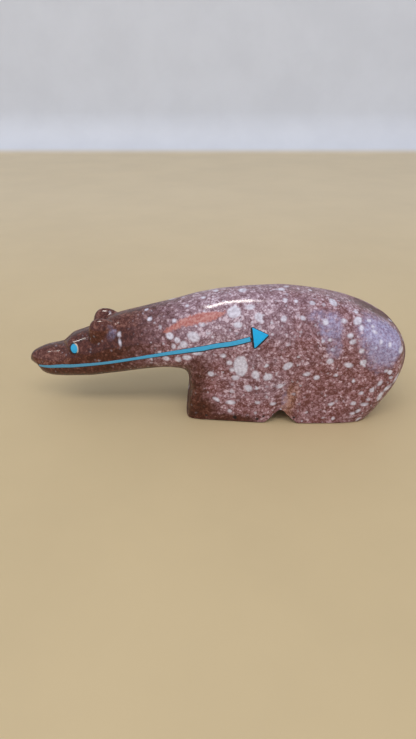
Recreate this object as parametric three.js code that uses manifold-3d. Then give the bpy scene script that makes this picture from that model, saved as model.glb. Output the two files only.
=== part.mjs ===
// A small bear carved from one block of speckled stone, with its neck and head stretched forward.
// A heartline, an arrowhead and an eye of turquoise are let into each side.
//
// Millimetres, +Z up. The origin is on the ground under the middle of the bear.
// The head points along -X, and the left side faces -Y.

import * as THREE from "three";
import Module from "manifold-3d";
import { ParametricGeometry } from "three/addons/geometries/ParametricGeometry.js";
import { mergeVertices } from "three/addons/utils/BufferGeometryUtils.js";

// Driving dimensions of the carving
const LENGTH = 90;
const HEIGHT = 30.5;
const WIDTH = 20;

// The gap under the belly, where the front and hind feet part
const NOTCH_WIDTH = 7.2;
const NOTCH_HEIGHT = 4;
const NOTCH_ROUND = 0.25;

// The two ears, round-topped cones that stand up from the head, sunk deep into it
const EAR_LENGTH = 6;
const EAR_WIDTH = 4.8;
const EAR_HEIGHT = 9;
const EAR_SPREAD = 7.2;
const EAR_LEAN = 14;

// The hollow ground behind each ear
const HOLLOW_LENGTH = 3.6;
const HOLLOW_HEIGHT = 5;
const HOLLOW_DEPTH = 0.7;

// The groove that runs up each flank from the notch, between the legs
const FLANK_GROOVE_LENGTH = 9;
const FLANK_GROOVE_WIDTH = 4;
const FLANK_GROOVE_DEPTH = 0.8;

// The turquoise inlays and the seam of glue around them
const INLAY_DEPTH = 0.9;
const GLUE_SEAM = 0.3;
const LINE_WIDTH = 1;
const ARROW_LENGTH = 3.4;
const ARROW_SPAN = 4.5;
const ARROW_GAP = 0.7;
const EYE_DIAMETER = 2;

// How finely the free forms are faceted
const STEPS_PER_SECTION = 5;
const STEPS_AROUND = 40;
const LINE_STEPS = 22;
const ARROW_EDGE_STEPS = 4;
const EYE_SIDES = 16;
const EGG_SIDES = 16;
const EGG_RINGS = 12;
const CONE_SIDES = 14;
const ROOF_STEPS = 4;

// How far the notch's cutter goes on below the ground, as a share of its height
const BELOW_GROUND = 0.5;

// Corners closer than this are one corner, and this many halvings find a place on the skin
const SAME_CORNER = 1e-4;
const HALVINGS = 40;

// The carving is a loft through flat sections. Each goes up from the belly to the ridge of the
// back, given as [percent of LENGTH from the middle, percent of HEIGHT]. It is widest at the share
// `wide` of the way up, where it is `half` percent of WIDTH to each side. `crown` and `keel` say
// how square it is above and below: 2 is an ellipse and 6 is nearly a box.
// The feet reach below the ground, which cuts them flat.
const SECTIONS = [
  { name: "nose", back: [-50, 41], belly: [-50, 41], wide: 0.5, half: 0, crown: 2, keel: 2 },
  { name: "muzzle", back: [-48.2, 47], belly: [-47.2, 35.5], wide: 0.55, half: 11, crown: 2, keel: 2.2 },
  { name: "lips", back: [-45, 52.5], belly: [-44.5, 29.2], wide: 0.52, half: 17.5, crown: 2, keel: 2.4 },
  { name: "stop", back: [-41.2, 54.4], belly: [-41.1, 29.2], wide: 0.5, half: 22.5, crown: 2.1, keel: 2.6 },
  { name: "brow", back: [-37.3, 62.3], belly: [-37.3, 29.5], wide: 0.44, half: 26.5, crown: 2.1, keel: 2.6 },
  { name: "ears", back: [-32.7, 68.5], belly: [-32.7, 30.7], wide: 0.39, half: 30, crown: 2.1, keel: 2.6 },
  { name: "nape", back: [-26.7, 75.7], belly: [-27.1, 32.8], wide: 0.35, half: 32, crown: 2.2, keel: 2.5 },
  { name: "neck", back: [-17.6, 84.8], belly: [-18.2, 37], wide: 0.32, half: 35.5, crown: 2.2, keel: 2.4 },
  { name: "chest", back: [-10.6, 89.8], belly: [-11.8, 38.8], wide: 0.33, half: 39, crown: 2.2, keel: 2.4 },
  { name: "breast", back: [-5, 93.8], belly: [-7.7, 33], wide: 0.4, half: 41.5, crown: 2.3, keel: 2.4 },
  { name: "wrist", back: [0, 96.4], belly: [-7, 19], wide: 0.48, half: 43.5, crown: 2.4, keel: 2.8 },
  { name: "toe", back: [4.7, 98.4], belly: [-7.6, -13.1], wide: 0.6, half: 45.5, crown: 2.4, keel: 4 },
  { name: "forefoot", back: [9.6, 99.6], belly: [2.2, -16.4], wide: 0.6, half: 48.5, crown: 2.4, keel: 6 },
  { name: "middle", back: [17.8, 99.7], belly: [16.7, -16.4], wide: 0.59, half: 50, crown: 2.5, keel: 6 },
  { name: "thigh", back: [28, 95.3], belly: [28.7, -16.4], wide: 0.6, half: 50, crown: 2.7, keel: 6 },
  { name: "heel", back: [35.2, 89], belly: [36.1, -11.5], wide: 0.61, half: 49.5, crown: 3, keel: 5 },
  { name: "hock", back: [41.6, 80.5], belly: [42.7, 6.6], wide: 0.58, half: 47.5, crown: 3.2, keel: 3.4 },
  { name: "rump", back: [46.7, 69.2], belly: [46.4, 25.2], wide: 0.51, half: 40, crown: 2.8, keel: 2.6 },
  { name: "tail", back: [50, 45.2], belly: [50, 45.2], wide: 0.5, half: 0, crown: 2.2, keel: 2.2 },
];

// Places of the details, as [percent of LENGTH from the middle, percent of HEIGHT]
const EAR_PLACE = [-29.4, 62.3];
const HOLLOW_PLACE = [-25.2, 66.5];
const EYE_PLACE = [-36.4, 55.9];
const NOTCH_PLACE = 16.6;
const FLANK_GROOVE_FOOT = [16.6, 10];
const FLANK_GROOVE_TILT = 13;
const HEARTLINE = [[-46.2, 38.5], [-33.3, 45.2], [-16.1, 54.8], [-3.8, 63.6], [8, 71.3]];

const wasm = await Module();
wasm.setup();

const stone = new THREE.MeshStandardMaterial({ name: "stone", color: 0x8a5a58, roughness: 0.22 });
const turquoise = new THREE.MeshStandardMaterial({ name: "turquoise", color: 0x2ba3d6, roughness: 0.35 });

/** The point of the side view at a place given in percent of LENGTH and HEIGHT. */
function place([along, up]) {
  return new THREE.Vector2((along * LENGTH) / 100, (up * HEIGHT) / 100);
}

/** The sections in millimetres, as rows of numbers that the spline can blend. */
const ROWS = SECTIONS.map(({ back, belly, wide, half, crown, keel }) => [
  ...place(back),
  ...place(belly),
  wide,
  (half * WIDTH) / 100,
  crown,
  keel,
]);

/**
 * The row past an end, where the loft closes in a round cap: it goes on through the end's point,
 * so it lies at the same place along the bear as the end's neighbour, with its heights and its
 * half width turned over.
 */
function pastEnd(end, neighbour) {
  const [backX, backZ, bellyX, bellyZ, wide, half, crown, keel] = neighbour;
  return [backX, 2 * end[1] - backZ, bellyX, 2 * end[3] - bellyZ, wide, -half, crown, keel];
}

const LAST = ROWS.length - 1;
const SPLINE = [pastEnd(ROWS[0], ROWS[1]), ...ROWS, pastEnd(ROWS[LAST], ROWS[LAST - 1])];

/** The section at t, from 0 at the nose to LAST at the tail: a Catmull-Rom blend of four rows. */
function sectionAt(t) {
  const first = Math.min(Math.floor(t), LAST - 1);
  const s = t - first;
  const weights = [
    0.5 * (-s + 2 * s ** 2 - s ** 3),
    0.5 * (2 - 5 * s ** 2 + 3 * s ** 3),
    0.5 * (s + 4 * s ** 2 - 3 * s ** 3),
    0.5 * (-(s ** 2) + s ** 3),
  ];
  const blend = (column) => weights.reduce((sum, w, k) => sum + w * SPLINE[first + k][column], 0);
  return {
    back: new THREE.Vector2(blend(0), blend(1)),
    belly: new THREE.Vector2(blend(2), blend(3)),
    wide: blend(4),
    half: Math.max(blend(5), 0),
    crown: blend(6),
    keel: blend(7),
  };
}

/**
 * A point of the carving's skin: t runs from nose to tail, and the angle goes once round the
 * section, from the back at 0 over the left side to the belly at a half turn.
 */
function skinPoint(t, angle, target) {
  const section = sectionAt(t);
  const up = Math.cos(angle);
  const out = Math.sin(angle);
  const square = up > 0 ? section.crown : section.keel;
  const rise = Math.abs(up) ** (2 / square);
  const spread = Math.abs(out) ** (2 / square);
  const share = up > 0 ? section.wide + (1 - section.wide) * rise : section.wide * (1 - rise);
  const point = section.belly.clone().lerp(section.back, share);
  target.set(point.x, -Math.sign(out) * section.half * spread, point.y);
}

/** Half the carving's thickness at a point of the side view. */
function thicknessAt(point) {
  let low = 0;
  let high = LAST;
  for (let step = 0; step < HALVINGS; step++) {
    const middle = (low + high) / 2;
    const { back, belly } = sectionAt(middle);
    const ahead = back.clone().sub(belly).cross(point.clone().sub(belly)) < 0;
    if (ahead) low = middle;
    else high = middle;
  }
  const { back, belly, wide, half, crown, keel } = sectionAt(low);
  const line = back.clone().sub(belly);
  const share = point.clone().sub(belly).dot(line) / line.lengthSq();
  const fromWidest = share > wide ? (share - wide) / (1 - wide) : (wide - share) / wide;
  const square = share > wide ? crown : keel;
  return half * Math.max(1 - Math.min(fromWidest, 1) ** square, 0) ** (1 / square);
}

/** One closed solid from a geometry: shared corners merged, flat triangles dropped, faces outwards. */
function solid(geometry) {
  const bare = geometry.clone();
  bare.deleteAttribute("normal");
  bare.deleteAttribute("uv");
  const merged = mergeVertices(bare, SAME_CORNER);
  const corners = merged.index.array;
  const kept = [];
  for (let k = 0; k < corners.length; k += 3) {
    const [a, b, c] = corners.slice(k, k + 3);
    if (a !== b && b !== c && c !== a) kept.push([a, b, c]);
  }
  const at = (k) => new THREE.Vector3().fromBufferAttribute(merged.attributes.position, k);
  const volume = kept.reduce((sum, [a, b, c]) => sum + at(a).dot(at(b).cross(at(c))), 0);
  const facing = volume < 0 ? kept.map(([a, b, c]) => [a, c, b]) : kept;
  return new wasm.Manifold(new wasm.Mesh({
    numProp: 3,
    vertProperties: new Float32Array(merged.attributes.position.array),
    triVerts: new Uint32Array(facing.flat()),
  }));
}

/** A named mesh of a closed solid. */
function meshOf(name, body, material) {
  const { vertProperties, triVerts } = body.getMesh();
  const geometry = new THREE.BufferGeometry();
  geometry.setAttribute("position", new THREE.BufferAttribute(vertProperties, 3));
  geometry.setIndex(new THREE.BufferAttribute(triVerts, 1));
  geometry.computeVertexNormals();
  const mesh = new THREE.Mesh(geometry, material);
  mesh.name = name;
  return mesh;
}

/** The same solid on the other side of the bear, for side +1, or as it is for the left side, -1. */
function onSide(geometry, side) {
  return side < 0 ? geometry : geometry.clone().scale(1, -1, 1);
}

/** The loft from nose to tail, before anything is joined to it or cut from it. */
function block() {
  const wrap = (u, v, target) => skinPoint(u * LAST, v * 2 * Math.PI, target);
  return solid(new ParametricGeometry(wrap, LAST * STEPS_PER_SECTION, STEPS_AROUND));
}

/** An ear: a long egg, half sunk in the head, that leans out to its side. */
function ear(side) {
  const centre = place(EAR_PLACE);
  const egg = new THREE.SphereGeometry(1, EGG_SIDES, EGG_RINGS);
  egg.scale(EAR_LENGTH / 2, EAR_WIDTH / 2, EAR_HEIGHT / 2);
  egg.rotateX(THREE.MathUtils.degToRad(EAR_LEAN));
  egg.translate(centre.x, -EAR_SPREAD / 2, centre.y);
  return solid(onSide(egg, side));
}

/** The hollow behind an ear, an egg that bites HOLLOW_DEPTH into the side of the head. */
function earHollow(side) {
  const centre = place(HOLLOW_PLACE);
  const half = HOLLOW_LENGTH / 2;
  const egg = new THREE.SphereGeometry(1, EGG_SIDES, EGG_RINGS);
  egg.scale(half, half, HOLLOW_HEIGHT / 2);
  egg.translate(centre.x, -thicknessAt(centre) - half + HOLLOW_DEPTH, centre.y);
  return solid(onSide(egg, side));
}

/**
 * The notch across the underside that parts the front feet from the hind feet: a V that goes on
 * below the ground, with the share NOTCH_ROUND of its height rounded off at the roof.
 */
function notch() {
  const middle = (NOTCH_PLACE * LENGTH) / 100;
  const roof = new THREE.Vector2(middle, NOTCH_HEIGHT / (1 - NOTCH_ROUND / 2));
  const feet = [-1, 1].map((way) => new THREE.Vector2(middle + (way * NOTCH_WIDTH) / 2, 0));
  const [front, hind] = feet.map((foot) => foot.clone().lerp(roof, 1 - NOTCH_ROUND));
  const [frontBelow, hindBelow] = feet.map((foot) => foot.clone().lerp(roof, -BELOW_GROUND));
  const outline = new THREE.Shape();
  outline.moveTo(frontBelow.x, frontBelow.y);
  outline.lineTo(front.x, front.y);
  outline.quadraticCurveTo(roof.x, roof.y, hind.x, hind.y);
  outline.lineTo(hindBelow.x, hindBelow.y);
  const across = { depth: 2 * WIDTH, bevelEnabled: false, curveSegments: ROOF_STEPS };
  const prism = new THREE.ExtrudeGeometry(outline, across);
  prism.rotateX(Math.PI / 2);
  prism.translate(0, WIDTH, 0);
  return solid(prism);
}

/** The groove up the flank: a long cone that lies along the skin with its point upwards. */
function flankGroove(side) {
  const foot = place(FLANK_GROOVE_FOOT);
  const radius = FLANK_GROOVE_WIDTH / 2;
  const cone = new THREE.ConeGeometry(radius, FLANK_GROOVE_LENGTH, CONE_SIDES);
  cone.rotateX(Math.PI / 2);
  cone.translate(0, 0, FLANK_GROOVE_LENGTH / 2);
  cone.rotateY(THREE.MathUtils.degToRad(FLANK_GROOVE_TILT));
  cone.translate(foot.x, -thicknessAt(foot) - radius + FLANK_GROOVE_DEPTH, foot.y);
  return solid(onSide(cone, side));
}

/** The ground, which cuts the feet flat. */
function ground() {
  const slab = new THREE.BoxGeometry(2 * LENGTH, 2 * WIDTH, HEIGHT);
  slab.translate(0, 0, -HEIGHT / 2);
  return solid(slab);
}

/**
 * A plug let straight into the side: the outline, in the side view, carried from `out` outside the
 * skin to `depth` inside it, so that its outer face follows the carving.
 */
function plug(outline, side, out, depth) {
  const shape = new THREE.Shape(outline);
  const geometry = new THREE.ExtrudeGeometry(shape, { depth: 1, bevelEnabled: false, curveSegments: 1 });
  const position = geometry.attributes.position;
  for (let k = 0; k < position.count; k++) {
    const point = new THREE.Vector2(position.getX(k), position.getY(k));
    const inset = position.getZ(k) < 0.5 ? -out : depth;
    position.setXYZ(k, point.x, side * (thicknessAt(point) - inset), point.y);
  }
  return solid(geometry);
}

/** The line from the mouth to the shoulder. */
const heartlinePath = new THREE.SplineCurve(HEARTLINE.map(place));

/** The outline of the heartline, widened and lengthened all round by a margin. */
function lineOutline(margin) {
  const half = LINE_WIDTH / 2 + margin;
  const upper = [];
  const lower = [];
  for (let step = 0; step <= LINE_STEPS; step++) {
    const t = step / LINE_STEPS;
    const along = heartlinePath.getTangentAt(t);
    const across = new THREE.Vector2(-along.y, along.x);
    const overrun = step === 0 ? -margin : step === LINE_STEPS ? margin : 0;
    const centre = heartlinePath.getPointAt(t).addScaledVector(along, overrun);
    upper.push(centre.clone().addScaledVector(across, half));
    lower.push(centre.clone().addScaledVector(across, -half));
  }
  return [...lower, ...upper.reverse()];
}

/** The outline of the arrowhead past the end of the heartline, grown all round by a margin. */
function arrowOutline(margin) {
  const along = heartlinePath.getTangentAt(1);
  const across = new THREE.Vector2(-along.y, along.x);
  const base = heartlinePath.getPointAt(1).addScaledVector(along, ARROW_GAP);
  const edge = Math.hypot(ARROW_LENGTH, ARROW_SPAN / 2);
  const tipGrowth = (margin * edge) / (ARROW_SPAN / 2);
  const growth = (ARROW_LENGTH + tipGrowth + margin) / ARROW_LENGTH;
  const half = (growth * ARROW_SPAN) / 2;
  const corners = [
    base.clone().addScaledVector(along, -margin).addScaledVector(across, -half),
    base.clone().addScaledVector(along, ARROW_LENGTH + tipGrowth),
    base.clone().addScaledVector(along, -margin).addScaledVector(across, half),
  ];
  return corners.flatMap((corner, k) => {
    const next = corners[(k + 1) % corners.length];
    const steps = Array.from({ length: ARROW_EDGE_STEPS }, (_, step) => step / ARROW_EDGE_STEPS);
    return steps.map((share) => corner.clone().lerp(next, share));
  });
}

/** The outline of the eye, grown all round by a margin. */
function eyeOutline(margin) {
  const centre = place(EYE_PLACE);
  const radius = EYE_DIAMETER / 2 + margin;
  return new THREE.EllipseCurve(centre.x, centre.y, radius, radius).getPoints(EYE_SIDES).slice(0, -1);
}

const INLAYS = { heartline: lineOutline, arrowhead: arrowOutline, eye: eyeOutline };
const SIDES = { left: -1, right: 1 };

/** The whole carving, with its seats for the inlays. */
function stoneBear() {
  let bear = block();
  for (const side of Object.values(SIDES)) {
    bear = bear.add(ear(side));
    bear = bear.subtract(earHollow(side));
    bear = bear.subtract(flankGroove(side));
    for (const outline of Object.values(INLAYS)) {
      const seat = plug(outline(GLUE_SEAM), side, WIDTH / 4, INLAY_DEPTH + GLUE_SEAM);
      bear = bear.subtract(seat);
    }
  }
  bear = bear.subtract(notch());
  return bear.subtract(ground());
}

const bear = new THREE.Group();
bear.add(meshOf("stone_bear", stoneBear(), stone));
for (const [sideName, side] of Object.entries(SIDES)) {
  for (const [inlayName, outline] of Object.entries(INLAYS)) {
    bear.add(meshOf(`${inlayName}_${sideName}`, plug(outline(0), side, 0, INLAY_DEPTH), turquoise));
  }
}

export default bear;
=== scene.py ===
"""A small bear of polished speckled stone, inlaid with turquoise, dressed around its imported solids.

The head points along -X, the left side faces the camera and the feet stand on z = 0. Shapes are worked
out in millimetres, as a carver measures them, and go into the meshes in metres. Places on the carving
are given as [percent of its length from the middle, percent of its height] in the side view. Other
lengths are in millimetres where nothing else is said.
"""

import logging
import math
from collections.abc import Callable, Iterable, Sequence
from dataclasses import dataclass, field
from enum import Enum

import bmesh
import bpy
import numpy as np
from mathutils import Matrix, Vector
from numpy.typing import NDArray


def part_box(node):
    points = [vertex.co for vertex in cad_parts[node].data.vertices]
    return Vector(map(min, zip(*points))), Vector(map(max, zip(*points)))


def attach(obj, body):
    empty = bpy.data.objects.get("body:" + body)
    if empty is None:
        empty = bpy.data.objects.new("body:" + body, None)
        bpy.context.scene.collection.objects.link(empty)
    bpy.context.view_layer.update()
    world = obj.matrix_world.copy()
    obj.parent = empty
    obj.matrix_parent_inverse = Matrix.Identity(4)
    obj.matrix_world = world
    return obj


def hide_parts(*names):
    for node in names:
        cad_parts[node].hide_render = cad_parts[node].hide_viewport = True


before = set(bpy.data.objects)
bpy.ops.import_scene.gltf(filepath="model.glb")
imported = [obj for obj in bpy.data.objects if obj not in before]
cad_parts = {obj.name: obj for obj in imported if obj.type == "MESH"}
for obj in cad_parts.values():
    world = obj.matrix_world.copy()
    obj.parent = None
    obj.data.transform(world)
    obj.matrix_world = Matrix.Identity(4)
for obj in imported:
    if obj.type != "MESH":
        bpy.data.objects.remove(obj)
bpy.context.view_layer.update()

Array = NDArray[np.float64]
Place = tuple[float, float]
Colour = tuple[int, int, int]
Span = tuple[float, float]
Placed = tuple[Array, Array, Array, float, float]
Skin = Callable[[Array], tuple[Array, Array]]
Piece = bpy.types.Object
Mesh = bpy.types.Mesh
Material = bpy.types.Material
Tree = bpy.types.NodeTree
Node = bpy.types.Node
Socket = bpy.types.NodeSocket

MM = 0.001
BODY_NODE = "stone_bear"
BODY = "root"

log = logging.getLogger("bear")


class Side(Enum):
    """The two sides of the bear, with the sign of Y on each."""

    LEFT = -1
    RIGHT = 1

    @property
    def word(self) -> str:
        """The side's name as the nodes spell it."""
        return self.name.lower()


class Slot(Enum):
    """The record's material slots."""

    STONE = "stone"
    TURQUOISE = "turquoise"


class Mark(Enum):
    """Values painted on the stone's vertices, which its material reads."""

    SPOT = "spot"
    STREAK = "streak"
    PALE = "pale"
    DARK = "dark"
    # painted reflection of the tan floor on the valley's hind wall, which faces down
    OCHRE = "ochre"
    # lavender stone in places, and a painted reflection of the light on the flank, the rump, the valley and behind the
    # ear
    HAZE = "haze"
    PIT = "pit"


RIM = "rim"
CHALK = "chalk"


def smooth_step(low: float, high: float, value: Array) -> Array:
    """A cubic ramp from 0 to 1.

    Args:
        low: The value where the ramp starts.
        high: The value where the ramp ends.
        value: The values to map.

    Returns:
        0 up to low, 1 from high on, and 3s^2 - 2s^3 of the share s between them.
    """
    share = np.clip((value - low) / (high - low), 0.0, 1.0)
    return share * share * (3.0 - 2.0 * share)


def smooth_max(first: Array, second: Array, blend: float) -> Array:
    """The larger of two values, rounded over where they are closer than blend.

    Args:
        first: Some values.
        second: Values of the same shape.
        blend: How far apart they are where the rounding ends.

    Returns:
        The larger value, plus a quarter of blend times the squared closeness.
    """
    closeness = np.maximum(1.0 - np.abs(first - second) / blend, 0.0)
    return np.maximum(first, second) + 0.25 * blend * closeness**2


def linear(colour: Colour) -> tuple[float, float, float, float]:
    """A screen colour, 0 to 255 in each channel, as the linear colour that a socket holds.

    Args:
        colour: Red, green and blue as they look on a screen.

    Returns:
        Linear red, green, blue and an alpha of 1.
    """
    shares = [channel / 255 for channel in colour]
    red, green, blue = (s / 12.92 if s <= 0.04045 else ((s + 0.055) / 1.055) ** 2.4 for s in shares)
    return red, green, blue, 1.0


def full_turn(count: int) -> Array:
    """Angles that go once round, the last a step short of the first."""
    return np.linspace(0, 2 * math.pi, count, endpoint=False)


def to_stretch(points: Array, start: Array, end: Array) -> tuple[Array, Array]:
    """The nearest place of a straight stretch to each point.

    Args:
        points: Points, one row each.
        start: One end of the stretch.
        end: Its other end.

    Returns:
        Each nearest place's share of the way from start to end, and how far away it is.
    """
    line = end - start
    share = np.clip((points - start) @ line / (line @ line), 0.0, 1.0)
    return share, np.linalg.norm(points - start - share[:, None] * line, axis=1)


@dataclass(frozen=True)
class SideView:
    """The carving's length, height and width in millimetres, which places in percent are taken from."""

    length: float
    height: float
    width: float

    @classmethod
    def of_node(cls, node: str) -> "SideView":
        """The side view of a CAD node, from its box.

        Args:
            node: The node's name.

        Returns:
            Its side view.
        """
        low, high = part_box(node)
        size = (high - low) / MM
        return cls(length=size.x, height=size.z, width=size.y)

    def points(self, places: Sequence[Place]) -> Array:
        """The x and z in millimetres of places in percent, one row each."""
        return np.array(places, float) * [self.length / 100, self.height / 100]

    def point(self, place: Place) -> Array:
        """The x and z in millimetres of one place in percent."""
        return self.points([place])[0]

    def turned(self, points: Array, place: Place, turn: float) -> tuple[Array, Array]:
        """How far points lie from a place, in two directions at a right angle.

        Args:
            points: Points with x, y and z in the last axis.
            place: The place, in percent.
            turn: The angle of the first direction above the horizontal, in degrees.

        Returns:
            The distances along the first direction and across it.
        """
        x, z = self.point(place)
        angle = math.radians(turn)
        off_x, off_z = points[..., 0] - x, points[..., 2] - z
        along = off_x * math.cos(angle) + off_z * math.sin(angle)
        return along, off_z * math.cos(angle) - off_x * math.sin(angle)

    def beside(self, points: Array, start: Place, end: Place) -> tuple[Array, Array, float]:
        """Where points lie beside the line from one place to another.

        Args:
            points: Points with x, y and z in the last axis.
            start: Where the line starts, in percent.
            end: Where it ends.

        Returns:
            The distances along the line and to the left of it, and the line's length.
        """
        first = self.point(start)
        line = self.point(end) - first
        length = float(np.hypot(*line))
        x, z = points[..., 0] - first[0], points[..., 2] - first[1]
        return (x * line[0] + z * line[1]) / length, (z * line[0] - x * line[1]) / length, length


@dataclass(frozen=True)
class Section:
    """One flat section of the loft, from the belly up to the ridge of the back.

    It is widest at the share wide of the way up, where it is half percent of the width to each side.
    crown and keel say how square it is above and below: 2 is an ellipse and 6 is nearly a box.
    """

    back: Place
    belly: Place
    wide: float
    half: float
    crown: float
    keel: float


SECTIONS = {
    "nose": Section((-49.7, 40.6), (-49.7, 40.6), 0.5, 0, 2, 2),
    "nostril": Section((-48.9, 46.7), (-47.1, 35), 0.5, 9.5, 2.1, 2.2),
    "muzzle": Section((-46.6, 50.6), (-46.2, 30.8), 0.52, 14.5, 2.1, 2.3),
    "lips": Section((-44.3, 52.8), (-43.7, 29.1), 0.51, 19.5, 2.1, 2.5),
    "stop": Section((-40.1, 55.8), (-40, 29.1), 0.5, 23, 2.1, 2.6),
    "brow": Section((-37.7, 61.7), (-37.7, 29.6), 0.45, 26, 2.1, 2.6),
    "forehead": Section((-35.4, 64.8), (-35.4, 30), 0.42, 28, 2.1, 2.6),
    "ears": Section((-32.2, 68.6), (-32.2, 30.7), 0.39, 30, 2.1, 2.6),
    "nape": Section((-26.7, 77.4), (-27.1, 32.8), 0.35, 32, 2.2, 2.5),
    "neck": Section((-17.6, 84.6), (-18.2, 37.1), 0.32, 35.5, 2.2, 2.4),
    "chest": Section((-10.6, 89.8), (-11.8, 38.8), 0.33, 39, 2.2, 2.4),
    "breast": Section((-5, 93.9), (-7.7, 34.4), 0.4, 41.5, 2.3, 2.4),
    "wrist": Section((0, 96.4), (-7.4, 19), 0.48, 43.5, 2.4, 3.2),
    "toe": Section((4.7, 98.4), (-7.5, -13.1), 0.6, 42.6, 2.4, 4.6),
    "forefoot": Section((9.6, 99.6), (2.2, -16.4), 0.6, 46, 2.4, 5.4),
    "middle": Section((17.8, 99.7), (16.7, -16.4), 0.59, 50, 2.5, 8),
    "thigh": Section((28, 95.3), (28.7, -16.4), 0.6, 50, 2.7, 8),
    "heel": Section((35.2, 89.2), (36.3, -10.4), 0.61, 49.5, 3, 6),
    "hock": Section((41.6, 80.5), (42.7, 6.6), 0.58, 47.5, 3.2, 3.4),
    "rump": Section((46.7, 69.2), (46.4, 25.2), 0.51, 40, 2.8, 2.6),
    "tail": Section((50, 45.2), (50, 45.2), 0.5, 0, 2.2, 2.2),
}


@dataclass(frozen=True)
class Cut:
    """Sections of the loft in millimetres: back and belly hold x and z in their last axis."""

    back: Array
    belly: Array
    wide: Array
    half: Array
    crown: Array
    keel: Array

    def heart(self) -> Array:
        """The points x, y and z in the middle of the sections, where they are widest."""
        middle = self.belly + (self.back - self.belly) * self.wide[..., None]
        return np.stack([middle[..., 0], np.zeros_like(self.wide), middle[..., 1]], axis=-1)


@dataclass
class Loft:
    """The carving before its ears and cuts: a skin through flat sections."""

    view: SideView  # side view that the sections are scaled by
    halvings: int = 40  # how many times find halves its search
    step: float = 0.05  # how far apart slopes are measured

    def __post_init__(self) -> None:
        """Puts the sections into one table, with a row past each end so that both close in a round cap."""
        rows = [
            [*self.view.point(s.back), *self.view.point(s.belly), s.wide, s.half * self.view.width / 100]
            + [s.crown, s.keel]
            for s in SECTIONS.values()
        ]
        before, after = self._past_end(rows[0], rows[1]), self._past_end(rows[-1], rows[-2])
        self.table = np.array([before, *rows, after])
        self.last = len(rows) - 1

    @staticmethod
    def _past_end(end: list[float], neighbour: list[float]) -> list[float]:
        """The neighbour's row with its heights and half width turned over at the end's point."""
        back_x, back_z, belly_x, belly_z, wide, half, crown, keel = neighbour
        return [back_x, 2 * end[1] - back_z, belly_x, 2 * end[3] - belly_z, wide, -half, crown, keel]

    def cut(self, t: Array) -> Cut:
        """The sections at t, from 0 at the nose to last at the tail: a Catmull-Rom blend of four rows.

        Args:
            t: Places along the loft, an array of any shape.

        Returns:
            The sections, each value with the shape of t.
        """
        first = np.clip(np.floor(t).astype(int), 0, self.last - 1)
        s = (t - first)[..., None]
        rows = [self.table[first + k] for k in range(4)]
        weights = [
            0.5 * (-s + 2 * s**2 - s**3),
            0.5 * (2 - 5 * s**2 + 3 * s**3),
            0.5 * (s + 4 * s**2 - 3 * s**3),
            0.5 * (-(s**2) + s**3),
        ]
        row = sum(weight * r for weight, r in zip(weights, rows))
        half = np.maximum(row[..., 5], 0.0)
        return Cut(row[..., 0:2], row[..., 2:4], row[..., 4], half, row[..., 6], row[..., 7])

    def skin(self, t: Array, angle: Array) -> Array:
        """Points of the skin, each section being two half superellipses joined where it is widest.

        The angle starts on the back and goes over the left side to the belly at a half turn. Above
        the widest place the height is wide + (1 - wide) * cos^(2/crown) and below it is
        wide * (1 - |cos|^(2/keel)), as shares of the line from belly to back. The distance to the
        side is half * sin^(2/crown or keel).

        Args:
            t: Places along the loft.
            angle: Angles round the section, of a shape that goes with t's.

        Returns:
            Points with x, y and z in the last axis.
        """
        cut = self.cut(t)
        up, out = np.cos(angle), np.sin(angle)
        power = 2.0 / np.where(up > 0, cut.crown, cut.keel)
        rise, spread = np.abs(up) ** power, np.abs(out) ** power
        share = np.where(up > 0, cut.wide + (1 - cut.wide) * rise, cut.wide * (1 - rise))
        middle = cut.belly + (cut.back - cut.belly) * share[..., None]
        return np.stack([middle[..., 0], -np.sign(out) * cut.half * spread, middle[..., 1]], axis=-1)

    def find(self, places: Array) -> Array:
        """Where along the loft the sections lie that go through places of the side view.

        Args:
            places: Rows of x and z.

        Returns:
            One t a row, found by halving.
        """
        low, high = np.zeros(len(places)), np.full(len(places), float(self.last))
        for _ in range(self.halvings):
            middle = (low + high) / 2
            cut = self.cut(middle)
            line, offset = cut.back - cut.belly, places - cut.belly
            ahead = line[:, 0] * offset[:, 1] - line[:, 1] * offset[:, 0] < 0
            low, high = np.where(ahead, middle, low), np.where(ahead, high, middle)
        return (low + high) / 2

    def half_thickness(self, places: Array) -> Array:
        """How far the skin is from the middle plane: the superellipse solved for y.

        Args:
            places: Rows of x and z.

        Returns:
            One distance a row.
        """
        cut = self.cut(self.find(places))
        line, offset = cut.back - cut.belly, places - cut.belly
        share = (line * offset).sum(axis=1) / (line * line).sum(axis=1)
        above = share > cut.wide
        from_widest = np.where(above, (share - cut.wide) / (1 - cut.wide), (cut.wide - share) / cut.wide)
        power = np.where(above, cut.crown, cut.keel)
        inside = np.maximum(1 - np.clip(from_widest, 0, 1) ** power, 0.0)
        return cut.half * inside ** (1 / power)

    def side_skin(self, places: Array, side: Side) -> tuple[Array, Array]:
        """Points of one side's skin and the normals there, from the slopes of the thickness.

        Args:
            places: Rows of x and z.
            side: The side of the bear.

        Returns:
            The points and the outward unit normals, one row each.
        """
        def slope(along: Sequence[float]) -> Array:
            """How fast the thickness grows in a direction of the side view."""
            move = np.array(along) * self.step
            return (self.half_thickness(places + move) - self.half_thickness(places - move)) / (2 * self.step)

        depth = self.half_thickness(places)
        points = np.stack([places[:, 0], side.value * depth, places[:, 1]], axis=1)
        normals = np.stack([-slope((1, 0)), np.full(len(places), float(side.value)), -slope((0, 1))], axis=1)
        return points, normals / np.linalg.norm(normals, axis=1, keepdims=True)


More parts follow.
